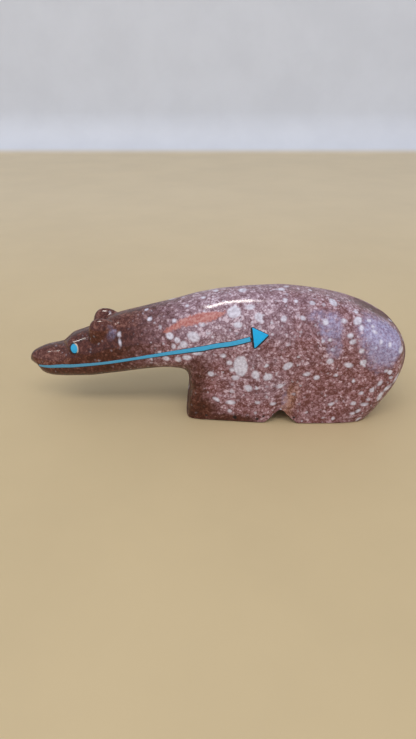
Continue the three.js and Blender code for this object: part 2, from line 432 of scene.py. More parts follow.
@dataclass(frozen=True)
class Ground:
    """What the feet are cut by: the flat ground, and the notch across the underside between the feet."""

    place: float = 16.9  # where the notch lies along the bear, in percent
    width: float = 7.7  # notch's width on the ground
    height: float = 3.15  # height of its roof
    rounding: float = 0.3  # share of its height that is rounded off at the roof
    passes: int = 4  # how often a point is moved along its section until it meets the ground

    def level(self, x: Array, view: SideView) -> Array:
        """The height of the ground: a V upside down whose tip is a parabola, and 0 beside it.

        Args:
            x: Where along the bear.
            view: The side view.

        Returns:
            Its height at each x.
        """
        reach = np.abs(x - self.place * view.length / 100) / (self.width / 2)
        roof = self.height / (1 - self.rounding / 2)
        tip = roof * (1 - self.rounding) + roof * self.rounding * (1 - (reach / self.rounding) ** 2) / 2
        return np.maximum(np.where(reach < self.rounding, tip, roof * (1 - reach)), 0.0)

    def trim(self, points: Array, cut: Cut, view: SideView) -> Array:
        """Points below the ground, moved up along the line of their own section until they are on it.

        Args:
            points: Points, with the sections in the first axis.
            cut: Their sections.
            view: The side view.

        Returns:
            The points, none of them below the ground.
        """
        belly, line = cut.belly[:, None, :], (cut.back - cut.belly)[:, None, :]
        rise = np.where(np.abs(line[..., 1]) < self.height / 100, 1.0, line[..., 1])
        share = (points[..., 2] - belly[..., 1]) / rise
        lifted = share
        for _ in range(self.passes):
            level = self.level(belly[..., 0] + lifted * line[..., 0], view)
            lifted = np.maximum(share, (level - belly[..., 1]) / rise)
        moved = lifted > share
        x = np.where(moved, belly[..., 0] + lifted * line[..., 0], points[..., 0])
        z = np.where(moved, belly[..., 1] + lifted * line[..., 1], points[..., 2])
        return np.stack([x, points[..., 1], z], axis=-1)


@dataclass(frozen=True)
class Ear:
    """An ear that swells out of the head, steep in front and trailing off to the neck."""

    place: Place = (-29.3, 63.4)  # middle of the ear's egg, deep in the head
    front: float = 3.0  # how far the egg reaches forward of its middle
    rear: float = 4.6  # how far it reaches back
    width: float = 4.4
    height: float = 9.3
    spread: float = 5.7  # how far apart the two ears' middles are
    lean: float = 7.0  # how far the ear leans out, in degrees
    steepness: float = 2.6  # how square the egg is in front, where 2 is an ellipse
    fillet: float = 0.9  # how far the crease around the ear is filled
    root: Span = (16.0, 19.5)  # heights between which the ear grows out of the cheek

    def swell(self, points: Array, heart: Array, side: Side, view: SideView) -> Array:
        """Points pushed out from the section's heart to where their ray leaves the ear.

        Across the bear the ear is a leaning ellipse. Its size shrinks to either end as
        (1 - |distance / reach|^p)^(1/p), with p the steepness in front and 2 behind.

        Args:
            points: Points of the skin.
            heart: The middle of their sections.
            side: Which ear.
            view: The side view.

        Returns:
            The points, moved outwards where the ear stands proud.
        """
        x, z = view.point(self.place)
        offset = points - heart
        reach = np.maximum(np.linalg.norm(offset, axis=-1), 1e-9)
        ray = offset / reach[..., None]
        along = points[..., 0] - x
        power = np.where(along < 0, self.steepness, 2.0)
        share = np.abs(along) / np.where(along < 0, self.front, self.rear)
        slim = np.maximum(1 - np.clip(share, 0, 1) ** power, 0.0) ** (1 / power)
        size = np.maximum(slim, 1e-3)[..., None] * np.array([self.width / 2, self.height / 2])
        lean = math.radians(self.lean) * side.value
        turn = np.array([[math.cos(lean), -math.sin(lean)], [math.sin(lean), math.cos(lean)]])
        middle = np.array([side.value * self.spread / 2, z])
        start = ((heart[..., 1:] - middle) @ turn.T) / size
        heading = (ray[..., 1:] @ turn.T) / size
        a = (heading**2).sum(axis=-1)
        b = (start * heading).sum(axis=-1)
        c = (start**2).sum(axis=-1) - 1
        inside = b * b - a * c
        leaves = (np.sqrt(np.maximum(inside, 0.0)) - b) / np.maximum(a, 1e-9)
        found = (inside > 0) & (slim > 1e-3)
        proud = smooth_max(reach, np.where(found, leaves, 0.0), self.fillet) - reach
        grown = reach + proud * smooth_step(*self.root, points[..., 2])
        return heart + ray * grown[..., None]


class Relief:
    """A change of the skin's height."""

    def height(self, points: Array, view: SideView) -> Array:
        """How far points of the skin move out.

        Args:
            points: Points with x, y and z in the last axis.
            view: The side view.

        Returns:
            Distances along the normals, negative for inwards.
        """
        raise NotImplementedError


@dataclass(frozen=True)
class Dish(Relief):
    """A shallow dish or swelling on both sides, as exp(-r^2) of the distance in the side view."""

    place: Place
    long: float  # how far it reaches along its own long direction
    short: float  # how far it reaches across
    turn: float  # angle of its long direction above the horizontal, in degrees
    lift: float  # height at its middle, negative for a hollow

    def height(self, points: Array, view: SideView) -> Array:
        """The lift times exp(-r^2) of the distance."""
        along, across = view.turned(points, self.place, self.turn)
        return self.lift * np.exp(-((along / self.long) ** 2) - (across / self.short) ** 2)


@dataclass(frozen=True)
class Valley(Relief):
    """The groove up the flank from the notch: a V with a gentle front wall and a steeper hind wall."""

    foot: Place = (16.2, 8.0)
    head: Place = (18.8, 40.0)
    front: float = 2.2  # width of the front wall
    hind: float = 1.9  # width of the hind wall
    depth: float = 0.6  # its depth at the foot, from where it fades to nothing at the head

    def offsets(self, points: Array, view: SideView) -> tuple[Array, Array]:
        """Each point's share of the way up the floor, and its distance behind it."""
        along, before, length = view.beside(points, self.foot, self.head)
        return along / length, -before

    def height(self, points: Array, view: SideView) -> Array:
        """Minus the depth, by a smooth step down both walls and one up to the head."""
        up, behind = self.offsets(points, view)
        reach = np.where(behind > 0, behind / self.hind, -behind / self.front)
        return -self.depth * smooth_step(1.0, 0.0, reach) * smooth_step(1.0, 0.1, up)


@dataclass(frozen=True)
class Facet(Relief):
    """A flat rubbed off beside a ridge: the skin sinks on one side of a line and comes up again further on."""

    start: Place  # one end of the ridge in the side view
    end: Place  # other end. The facet lies to the left of the way from start to end
    depth: float
    width: float  # how far from the ridge it reaches that depth
    far: float  # where the skin is back at its own height
    reach: float  # how far beyond its ends the facet still fades out

    def height(self, points: Array, view: SideView) -> Array:
        """Minus the depth, by smooth steps from the ridge and back, and at both ends."""
        along, beyond, length = view.beside(points, self.start, self.end)
        ends = smooth_step(-self.reach, 0.0, along) * smooth_step(length + self.reach, length, along)
        across = smooth_step(0.0, self.width, beyond) * smooth_step(self.far, self.width, beyond)
        return -self.depth * across * ends


@dataclass(frozen=True)
class Brow(Relief):
    """The step where the forehead rises over the snout, swept back to both sides."""

    front: float = -40.2  # where along the bear the step starts, in percent
    sweep: float = 0.5  # how far it goes back for each millimetre to the side
    lift: float = 0.3
    edge: float = 0.35  # half the width of its edge
    length: float = 2.6  # how far behind the edge the lift has faded
    low: float = 15.6  # it starts to show between low and high
    high: float = 17.2

    def height(self, points: Array, view: SideView) -> Array:
        """The lift times a smooth step and exp(-r^2) of the way behind it."""
        front = self.front * view.length / 100 + self.sweep * np.abs(points[..., 1])
        behind = points[..., 0] - front
        fade = np.exp(-((np.maximum(behind, 0.0) / self.length) ** 2))
        shown = smooth_step(self.low, self.high, points[..., 2])
        return self.lift * smooth_step(-self.edge, self.edge, behind) * fade * shown


@dataclass(frozen=True)
class Waves(Relief):
    """The slight unevenness of a form rubbed down by hand: a sum of sine waves in space."""

    seed: int
    count: int
    shortest: float
    longest: float
    lift: float

    def height(self, points: Array, view: SideView) -> Array:
        """The sum of the waves."""
        draw = np.random.default_rng(self.seed)
        directions = draw.normal(size=(self.count, 3))
        directions /= np.linalg.norm(directions, axis=1, keepdims=True)
        lengths = draw.uniform(self.shortest, self.longest, self.count)
        phases = draw.uniform(0, 2 * math.pi, self.count)
        total = np.zeros(points.shape[:-1])
        for direction, length, phase in zip(directions, lengths, phases):
            total += np.sin(points @ direction * (2 * math.pi / length) + phase)
        return self.lift * total


VALLEY = Valley()
RELIEFS: tuple[Relief, ...] = (
    VALLEY,
    Brow(),
    Dish(place=(-25.7, 68.8), long=1.5, short=1.4, turn=0, lift=-0.5),
    Dish(place=(-4.6, 16.0), long=2.2, short=2.0, turn=0, lift=0.34),
    Dish(place=(-0.8, 31.0), long=3.4, short=1.3, turn=-32, lift=-0.3),
    Facet(start=(-7.4, 14.0), end=(-5.2, 24.6), depth=0.3, width=1.1, far=3.0, reach=2.2),
    Waves(seed=5, count=7, shortest=11, longest=24, lift=0.02),
    Waves(seed=11, count=9, shortest=4, longest=8, lift=0.004),
)


def outward(points: Array, faces: list[list[int]]) -> list[list[int]]:
    """The faces of a closed mesh, all turned over if its signed volume is negative.

    Args:
        points: The vertices.
        faces: Faces that agree on a direction.

    Returns:
        Faces that point outwards.
    """
    corners = np.array([[face[0], face[k], face[k + 1]] for face in faces for k in range(1, len(face) - 1)])
    a, b, c = (points[corners[:, k]] for k in range(3))
    volume = (a * np.cross(b, c)).sum()
    return faces if volume > 0 else [face[::-1] for face in faces]


def closed_rings(rings: Array) -> tuple[Array, list[list[int]], Array]:
    """The closed skin of rings that end in one point, or in a fold, as the heartline's plate does.

    Each ring's points are joined to the next ring's. The points of a folded ring are merged with their
    twins on the other side of the fold.

    Args:
        rings: The rings of points, of which the first and the last are a point or a fold.

    Returns:
        The vertices, the faces, which point outwards, and the number of each vertex among the rings' points.
    """
    count, around = rings.shape[:2]
    column = np.arange(around)
    pole = np.ptp(rings[0], axis=0).max() < 1e-6
    twin = np.zeros(around, int) if pole else np.minimum(column, around - 1 - column)
    number = np.arange(count * around).reshape(count, around)
    number[0], number[-1] = twin, (count - 1) * around + twin
    used, number = np.unique(number, return_inverse=True)
    number = number.reshape(count, around)
    following = np.roll(number, -1, axis=1)
    quads = np.stack([number[:-1], following[:-1], following[1:], number[1:]], axis=-1).reshape(-1, 4)
    faces = [face for quad in quads.tolist() if len(face := list(dict.fromkeys(quad))) > 2]
    points = rings.reshape(-1, 3)[used]
    return points, outward(points, faces), used


def make_object(name: str, points: Array, faces: list[list[int]]) -> Piece:
    """A smooth-shaded mesh object at the origin.

    Args:
        name: The object's name.
        points: The vertices in millimetres.
        faces: The faces as lists of vertex numbers.

    Returns:
        The object, in the scene.
    """
    mesh = bpy.data.meshes.new(name)
    mesh.from_pydata((points * MM).tolist(), [], faces)
    mesh.polygons.foreach_set("use_smooth", np.ones(len(mesh.polygons), bool))
    mesh.update()
    piece = bpy.data.objects.new(name, mesh)
    bpy.context.scene.collection.objects.link(piece)
    return piece


def vertex_places(mesh: Mesh) -> Array:
    """The vertices of a mesh in millimetres.

    Args:
        mesh: The mesh.

    Returns:
        One row a vertex.
    """
    places = np.empty(len(mesh.vertices) * 3)
    mesh.vertices.foreach_get("co", places)
    return places.reshape(-1, 3) / MM


def paint(mesh: Mesh, name: str, values: Array) -> None:
    """Writes one number for each vertex into a named attribute of the mesh."""
    attribute = mesh.attributes.new(name, "FLOAT", "POINT")
    attribute.data.foreach_set("value", values.astype(np.float32))


@dataclass(frozen=True)
class Spot:
    """A pale crystal in the stone, as seen from the side."""

    place: Place
    long: float  # its length
    tall: float  # its height
    turn: float = 0.0  # angle of its length above the horizontal, in degrees


# The larger crystals of the left side: each one's place in percent, its length, its height and its turn
LEFT_SPOTS: tuple[Spot, ...] = tuple(Spot((x, z), *sizes) for x, z, *sizes in (
    (6.0, 49.0, 3.1, 4.9, 6), (4.2, 88.3, 3.0, 2.6), (-5.7, 71.5, 2.7, 2.2, -20), (-8.1, 65.2, 1.7, 1.6),
    (-11.6, 70.7, 1.5, 1.8, 60), (10.1, 86.1, 1.7, 1.9, 40), (9.8, 42.7, 1.7, 2.0), (4.8, 39.4, 1.7, 1.2),
    (8.1, 31.1, 1.6, 1.9, 50), (3.7, 18.0, 2.2, 1.1), (0.0, 20.2, 1.6, 0.9, -25), (-1.4, 41.8, 1.4, 1.2, -30),
    (5.1, 80.3, 1.9, 1.3), (-3.6, 80.1, 1.4, 0.9), (-4.9, 59.1, 2.2, 0.9, 6), (-7.4, 54.9, 1.9, 1.3),
    (-9.7, 52.8, 1.5, 1.2, -30), (-12.6, 53.2, 1.4, 1.1, -20), (-9.8, 68.2, 1.3, 1.3), (-10.7, 63.2, 0.9, 1.1),
    (1.6, 57.1, 1.4, 1.0), (3.2, 51.7, 1.2, 1.1), (3.9, 46.0, 1.3, 1.0), (12.9, 41.2, 2.2, 1.6, 30),
    (16.1, 34.0, 1.6, 1.0, 20), (14.6, 18.2, 1.3, 0.9), (10.7, 18.9, 1.2, 0.7), (16.2, 85.7, 1.3, 1.4),
    (17.7, 50.9, 2.3, 1.5, 35), (22.6, 44.3, 1.6, 0.9, 15), (25.1, 41.2, 1.3, 1.1), (28.0, 55.0, 1.5, 1.3),
    (32.7, 51.7, 1.9, 1.1, -15), (36.3, 53.7, 1.4, 1.3), (34.3, 83.4, 1.6, 2.2, -60), (32.4, 74.3, 1.3, 1.0),
    (33.1, 69.7, 1.4, 1.0, 20), (35.5, 62.8, 1.2, 1.1), (26.3, 83.3, 1.3, 1.4), (30.9, 83.7, 1.1, 1.3, 60),
    (23.3, 94.1, 1.3, 1.1), (29.9, 43.4, 0.9, 0.7), (29.6, 18.3, 1.3, 0.8, 20), (38.2, 17.6, 1.8, 0.9),
    (35.2, 18.9, 1.3, 1.0), (43.7, 30.5, 2.0, 1.1, 50), (42.1, 24.6, 2.3, 1.0, 52), (45.7, 38.4, 2.4, 1.0, 60),
    (39.6, 30.1, 1.2, 1.1), (-24.7, 69.4, 1.2, 1.4), (-24.4, 63.9, 0.6, 1.7, 10), (-16.8, 80.2, 1.1, 1.0),
    (-10.6, 81.0, 0.8, 0.8), (8.1, 91.7, 2.0, 1.2), (28.7, 93.4, 1.7, 2.6, 30), (34.2, 87.7, 1.0, 1.1),
    (37.3, 82.6, 0.9, 0.9), (38.1, 79.2, 0.9, 0.7), (35.2, 79.0, 1.0, 1.2), (38.6, 75.9, 1.3, 0.7, -30),
    (40.2, 69.0, 0.8, 1.1), (42.6, 66.5, 0.8, 1.1), (27.5, 71.2, 0.9, 0.7), (20.8, 86.0, 1.3, 0.9, -35),
    (19.3, 95.4, 0.9, 0.9), (44.1, 40.0, 0.9, 0.7), (41.4, 35.9, 1.5, 0.9, 40), (42.1, 21.6, 1.6, 0.9, 50),
    (36.9, 27.7, 1.1, 0.8, 20), (36.9, 12.1, 1.2, 0.8, 30), (35.4, 9.5, 1.1, 0.8), (37.4, 3.5, 1.3, 0.7, 40),
    (39.0, 22.1, 1.0, 0.8), (40.1, 31.8, 0.9, 0.7), (42.5, 45.8, 0.9, 0.7, 30),
))


# Small dark holes, and glue at the line's end: each one's place and its width
PITS = tuple(Spot((x, z), wide, wide) for x, z, wide in (
    (-2.6, 5.0, 0.68), (4.9, 4.4, 1.0), (10.7, 4.0, 0.72), (12.4, 6.5, 0.6), (20.3, 6.0, 0.6), (8.65, 71.0, 0.7),
))


@dataclass(frozen=True)
class Streak:
    """A salmon vein near the surface: a bent band whose half width is given at each of its places."""

    places: tuple[Place, ...] = ((-13.0, 73.0), (-8.7, 79.9), (-4.9, 83.4), (-1.2, 85.7), (1.9, 87.6))
    half_widths: tuple[float, ...] = (0.3, 0.85, 1.2, 1.05, 0.35)
    outside: float = -9.0  # least depth, which counts as well outside

    def inside(self, points: Array, loft: Loft, side: Side) -> Array:
        """How far inside the band points lie: its half width less the distance to its nearest stretch.

        Args:
            points: Rows of x, y and z.
            loft: The skin that it lies on.
            side: The side that it is on.

        Returns:
            One depth a row, negative outside.
        """
        nodes, _ = loft.side_skin(loft.view.points(self.places), side)
        best = np.full(len(points), self.outside)
        for start, end, first, last in zip(nodes, nodes[1:], self.half_widths, self.half_widths[1:]):
            share, distance = to_stretch(points, start, end)
            best = np.maximum(best, first + (last - first) * share - distance)
        return best


@dataclass(frozen=True)
class Cloud:
    """A soft region of the stone, an ellipse in the side view with a fading edge."""

    mark: Mark  # what it paints
    place: Place
    long: float  # its reach along its own direction
    tall: float  # its reach across
    amount: float  # value in its middle
    turn: float = 0.0  # angle of its own direction above the horizontal, in degrees
    sides: tuple[Side, ...] = ()

    def value(self, points: Array, view: SideView) -> Array:
        """The amount times a smooth fall from the middle to the edge and a little past it.

        Args:
            points: Rows of x, y and z.
            view: The side view.

        Returns:
            One value a row.
        """
        along, across = view.turned(points, self.place, self.turn)
        here = sum(smooth_step(0.0, 1.5, side.value * points[:, 1]) for side in self.sides)
        return self.amount * smooth_step(1.35, 0.55, np.hypot(along / self.long, across / self.tall)) * here


@dataclass(frozen=True)
class Patch:
    """A field painted on the stone, partly its own tint and partly a painted reflection, that is clearer on one side,
    an outline in the side view.
    """

    corners: tuple[Place, ...]  # places that the outline goes through
    turn: float = 35.0  # side where it is clearest, as an angle above the direction of the tail
    crisp: float = 0.25  # half the width of the edge there
    soft: float = 2.4  # half its width on the other side

    def value(self, points: Array, view: SideView) -> Array:
        """A smooth step of the distance inside the outline, which counts as negative outside.

        A point is inside if a line from it straight up crosses the outline an odd number of times.

        Args:
            points: Rows of x, y and z.
            view: The side view.

        Returns:
            One value a row, from 0 to 1.
        """
        nodes = view.points(self.corners)
        place = points[:, [0, 2]]
        distance, crossings = np.full(len(place), np.inf), np.zeros(len(place), int)
        for start, end in zip(nodes, np.roll(nodes, -1, axis=0)):
            line = end - start
            distance = np.minimum(distance, to_stretch(place, start, end)[1])
            between = (place[:, 0] > start[0]) != (place[:, 0] > end[0])
            height = start[1] + (place[:, 0] - start[0]) * line[1] / (line[0] or 1.0)
            crossings += between & (height > place[:, 1])
        signed = np.where(crossings % 2 == 1, distance, -distance)
        clear_side = np.array([math.cos(math.radians(self.turn)), math.sin(math.radians(self.turn))])
        across = nodes @ clear_side
        clear = smooth_step(across.min(), across.max(), place @ clear_side)
        return smooth_step(-1.0, 1.0, signed / (self.soft + (self.crisp - self.soft) * clear))


# The lavender patch on the rump: partly lavender stone, partly a painted reflection of the light from the side, with
# its crisp edge towards the tail
RUMP_HAZE_AND_SHEEN = Patch(
    corners=(
        (36.4, 84.6), (39.4, 82.4), (42.3, 78.6), (44.8, 73.0), (45.7, 69.6), (46.1, 64.4), (45.9, 59.4), (44.6, 54.5),
        (42.8, 49.6), (40.6, 48.2), (38.3, 52.3), (37.0, 60.4), (35.7, 68.1), (35.0, 77.7),
    ),
)

BOTH = (Side.LEFT, Side.RIGHT)
CLOUDS = tuple(Cloud(mark, (x, z), *shape, sides=sides) for mark, sides, shapes in (
    (Mark.DARK, BOTH, (
        # The three clouds from 43.6 to 48.8 along, round the rump's rear edge and over its top, are painted shade where
        # the surface turns away
        (-5.2, 10.0, 5.2, 4.6, 1.0, -10), (-6.0, 26.0, 3.0, 4.0, 0.95, -20), (-6.5, 38.0, 3.4, 6.0, 0.8, -35),
        (3.0, 2.5, 7.5, 1.7, 0.95), (48.0, 26.0, 2.2, 8.0, 0.25, -20), (48.8, 62.0, 1.9, 8.0, 0.75, 12),
        (43.6, 85.0, 6.5, 1.2, 0.7, -40), (38.0, 6.0, 7.0, 3.5, 0.22, 20),
    )),
    (Mark.PALE, BOTH, (
        # The cloud on the top of the snout, at -43.5 along, is partly a painted highlight
        (3.0, 84.0, 13.0, 5.5, 0.4, 6), (-2.0, 66.0, 6.0, 3.5, 0.15), (-43.5, 46.0, 5.0, 2.6, 0.95, 12),
        (-25.0, 80.0, 8.0, 2.8, 0.7, 15), (10.0, 40.0, 8.0, 7.0, 0.15),
    )),
    # Lavender clouds of the left side: the stone's own tint, with a painted reflection of the light over the flank, in
    # the valley above the notch and in the hollow behind the ear
    (Mark.HAZE, (Side.LEFT,), (
        (17.6, 21.0, 0.7, 2.4, 0.35), (-26.4, 68.6, 0.9, 1.3, 0.42, -30), (27.6, 79.5, 2.7, 3.0, 0.7),
        (28.9, 64.8, 1.7, 2.3, 0.55), (24.6, 87.0, 2.4, 1.2, 0.4),
    )),
    (Mark.HAZE, (Side.RIGHT,), ((20.0, 60.0, 4.0, 3.0, 0.4),)),
) for x, z, *shape in shapes)


@dataclass
class StonePainting:
    """Where the stone's marks lie on the finished skin."""

    loft: Loft  # skin that the marks lie on
    brown_neck: Span = (-7.0, -27.0)  # where along the neck the stone turns brown, and is all brown
    brown_slant: float = 0.12  # how much further back it does so for each percent of height
    brown_belly: Span = (52.0, 40.0)  # same two places up the breast's underside
    brown_slope: float = 0.9  # how that height falls for each percent along the bear
    brown_under: float = 0.75  # how brown it gets there
    pale: float = 0.42  # how pale the stone is
    pale_and_lit_top: float = 0.2  # painted light: how much paler it is painted on the back, which faces up
    pale_rear: float = 0.1  # how much less pale it is behind
    ridge: Span = (1.4, 3.8)  # how far from the middle of the back the rump's patch starts, and is full
    ridge_shade: float = 0.85  # painted shade: how brown the back is painted between the two patches, where it turns away along the ridge
    spots_elsewhere: int = 80  # how many larger crystals the hidden right side, the back and the tail get
    seed: int = 23

    def _named(self, spots: Sequence[Spot]) -> list[Placed]:
        """Named crystals or pits on the skin of the left side.

        Args:
            spots: The crystals or pits.

        Returns:
            Each one's middle, its two directions and its two half sizes.
        """
        middles, normals = self.loft.side_skin(self.loft.view.points([s.place for s in spots]), Side.LEFT)
        found = []
        for spot, middle, normal in zip(spots, middles, normals):
            angle = math.radians(spot.turn)
            along = np.array([math.cos(angle), 0.0, math.sin(angle)])
            along -= normal * (along @ normal)
            along /= np.linalg.norm(along)
            found.append((middle, along, np.cross(normal, along), spot.long / 2, spot.tall / 2))
        return found

    def _seeded(self) -> list[Placed]:
        """Crystals at seeded places of the skin outside the left side's own.

        Returns:
            The same five things of each as for the named ones.
        """
        draw = np.random.default_rng(self.seed)
        found = []
        while len(found) < self.spots_elsewhere:
            place = draw.uniform([8.0, 0.0], [self.loft.last, 2 * math.pi])
            middle = self.loft.skin(place[:1], place[1:])[0]
            radius = 0.35 + 0.55 * draw.random() ** 2
            along = draw.normal(size=3)
            along /= np.linalg.norm(along)
            across = np.cross(along, draw.normal(size=3))
            across /= np.linalg.norm(across)
            if middle[0] > -20 and (middle[1] > -2.5 or middle[0] > 41):
                found.append((middle, along, across, radius * draw.uniform(1.0, 1.5), radius))
        return found

    @staticmethod
    def depth(points: Array, placed: Sequence[Placed]) -> Array:
        """How deep inside the nearest crystal or pit points lie.

        With half sizes a and b it is b (1 - d), where d is the distance from its middle with the part
        along it divided by a and the rest by b.

        Args:
            points: Rows of x, y and z.
            placed: The crystals or pits.

        Returns:
            One depth a row, negative outside and at least -1.
        """
        best = np.full(len(points), -1.0)
        for middle, along, across, long, tall in placed:
            near = np.flatnonzero(np.abs(points - middle).max(axis=1) < 2 * max(long, tall) + 1)
            offset = points[near] - middle
            first, second = offset @ along / long, offset @ across / tall
            third = offset @ np.cross(along, across) / (0.5 * (long + tall))
            depth = min(long, tall) * (1 - np.sqrt(first**2 + second**2 + third**2))
            best[near] = np.maximum(best[near], depth)
        return best

    def values(self, points: Array) -> dict[Mark, Array]:
        """Every mark's value at the given points.

        Args:
            points: Rows of x, y and z in millimetres.

        Returns:
            The values by mark.
        """
        view = self.loft.view
        along = points[:, 0] * 100 / view.length
        up = points[:, 2] * 100 / view.height
        head = smooth_step(*self.brown_neck, along - self.brown_slant * (up - 50))
        under = smooth_step(*self.brown_belly, up + self.brown_slope * (along + 14)) * smooth_step(0.0, -8.0, along)
        # painted light makes the back paler towards the top; behind, it is less pale
        paler = self.pale_and_lit_top * smooth_step(30.0, 95.0, up) - self.pale_rear * smooth_step(15.0, 40.0, along)
        found = {
            Mark.SPOT: self.depth(points, [*self._named(LEFT_SPOTS), *self._seeded()]),
            Mark.STREAK: Streak().inside(points, self.loft, Side.LEFT),
            Mark.PIT: self.depth(points, self._named(PITS)),
            Mark.DARK: np.maximum(head, self.brown_under * under),
            Mark.PALE: self.pale + paler,
            Mark.HAZE: np.zeros(len(points)),
        }
        for cloud in CLOUDS:
            value = cloud.value(points, view)
            if cloud.mark is Mark.PALE:
                found[cloud.mark] = found[cloud.mark] + value
            else:
                found[cloud.mark] = np.maximum(found[cloud.mark], value)
        off_ridge = smooth_step(*self.ridge, np.abs(points[:, 1]))
        # the rump's patch, partly lavender stone and partly a painted reflection of the light, fading out towards the
        # ridge
        found[Mark.HAZE] = np.maximum(found[Mark.HAZE], RUMP_HAZE_AND_SHEEN.value(points, view) * off_ridge)
        # painted shade along the rump's ridge, where the back turns away from the light
        ridge = (1 - off_ridge) * smooth_step(33.0, 38.0, along) * smooth_step(50.0, 62.0, up)
        found[Mark.DARK] = np.maximum(found[Mark.DARK], self.ridge_shade * ridge)
        # the valley's hind wall faces down: painted reflection of the floor on it, fading out up the valley
        share, behind = VALLEY.offsets(points, view)
        wall = smooth_step(-0.3, 0.3, behind) * smooth_step(VALLEY.hind + 1.8, VALLEY.hind - 0.2, behind)
        found[Mark.OCHRE] = wall * smooth_step(1.15, 0.5, share)
        return found


@dataclass
class Outline:
    """The edge of an inlay in the side view."""

    edge: Array  # rows of x and z round the edge
    spine: Array  # for each of them, the point on the inlay's own middle that it shrinks to

    def at(self, share: float) -> Array:
        """The edge shrunk to a share of its way out from the spine."""
        return self.spine + (self.edge - self.spine) * share


def wobble(seed: int, count: int, waves: int, amount: float) -> Array:
    """A closed run of numbers that wavers smoothly: a sum of sines with whole numbers of waves.

    Args:
        seed: The seed of the phases.
        count: How many numbers.
        waves: The highest number of waves in the run.
        amount: The largest value it can have.

    Returns:
        The numbers, from -amount to amount.
    """
    draw = np.random.default_rng(seed)
    turn = full_turn(count)
    numbers = np.arange(2, waves + 1)
    phases = draw.uniform(0, 2 * math.pi, len(numbers))
    weights = draw.uniform(0.4, 1.0, len(numbers))
    return amount * (weights[:, None] * np.sin(numbers[:, None] * turn + phases[:, None])).sum(axis=0) / weights.sum()


@dataclass
class Inlay:
    """What the three inlays have in common: a plate of turquoise let into the side, with its glue."""

    view: SideView
    seed: int  # seed of the edge's unevenness
    depth: float = 0.85  # how deep the plate goes
    proud: float = 0.03  # how far the turquoise stands out of the stone
    sunk: float = 0.045  # how far the glue lies below the stone
    bevel: float = 0.07  # width of the worn edge of the turquoise
    seam: float = 0.13  # mean width of the glue
    seam_play: float = 0.1  # how much the glue's width varies
    thin: float = 0.045  # least width of the glue
    hand: float = 0.02  # how much the cut edge wavers

    def outline(self, margin: Array | float) -> Outline:
        """The outline grown all round.

        Args:
            margin: How far it grows, which may differ from point to point.

        Returns:
            The grown edge with its spine.
        """
        raise NotImplementedError

    def count(self) -> int:
        """How many points the outline has."""
        return len(self.outline(0.0).edge)

    def seam_profile(self) -> Array | float:
        """The glue's mean width at each point of the outline."""
        return self.seam

    def chalk_profile(self) -> Array:
        """How pale the glue has gone at each point of the outline, mostly not at all."""
        return smooth_step(0.5, 0.8, wobble(self.seed + 2, self.count(), 7, 1.0))

    def seam_widths(self) -> Array:
        """The glue's width at each point of the outline, uneven but never less than thin."""
        play = wobble(self.seed, self.count(), 9, self.seam_play)
        return np.maximum(self.seam_profile() + play, self.thin)

    def lay(self, skin: Skin, rings: Iterable[tuple[Array, float, float]]) -> Array:
        """Rings of points above or below the skin.

        Args:
            skin: Gives the points and normals of the skin at places of the side view.
            rings: For each ring the margin of its outline, the share it is shrunk to, and its height.

        Returns:
            The points, one ring after another.
        """
        laid = []
        for margin, share, height in rings:
            points, normals = skin(self.outline(margin).at(share))
            laid.append(points + normals * height)
        return np.stack(laid)

    def plate(self, skin: Skin) -> tuple[Array, Array]:
        """The plate's rings, from the middle of its face over the glue to the middle of its underside.

        Args:
            skin: Gives the points and normals of the skin at places of the side view.

        Returns:
            The rings of points, and each one's distance outside the edge of the turquoise.
        """
        hand = wobble(self.seed + 1, self.count(), 14, self.hand)
        seam = self.seam_widths()
        face = [(hand - self.bevel, share, self.proud) for share in (0.0, 0.34, 0.67, 0.9)]
        rings = [
            *face,
            (hand - self.bevel, 1.0, self.proud),
            (hand - 0.3 * self.bevel, 1.0, 0.7 * self.proud),
            (hand, 1.0, -0.3 * self.sunk),
            (hand + 0.25 * (seam - hand), 1.0, -self.sunk),
            (hand + 0.6 * (seam - hand), 1.0, -1.15 * self.sunk),
            (seam, 1.0, -0.75 * self.sunk),
            (seam, 1.0, -self.depth),
            (seam, 0.5, -self.depth),
            (seam, 0.0, -self.depth),
        ]
        inner = np.linalg.norm(self.outline(0.0).edge - self.outline(0.0).spine, axis=1)
        rim = np.stack([(share - 1) * inner + (margin - hand) * share for margin, share, _ in rings])
        return self.lay(skin, rings), rim

    def seat(self, skin: Skin, clear: float = 0.012, over: float = 1.0) -> Array:
        """The rings of the cutter that sinks the plate's seat into the stone.

        Args:
            skin: Gives the points and normals of the skin at places of the side view.
            clear: How much wider than the plate the seat is.
            over: How far the cutter stands out of the skin.

        Returns:
            Its rings of points.
        """
        wide = self.seam_widths() + clear
        low = -self.depth - clear
        return self.lay(skin, [(wide, 0.0, over), (wide, 1.0, over), (wide, 1.0, low), (wide, 0.0, low)])


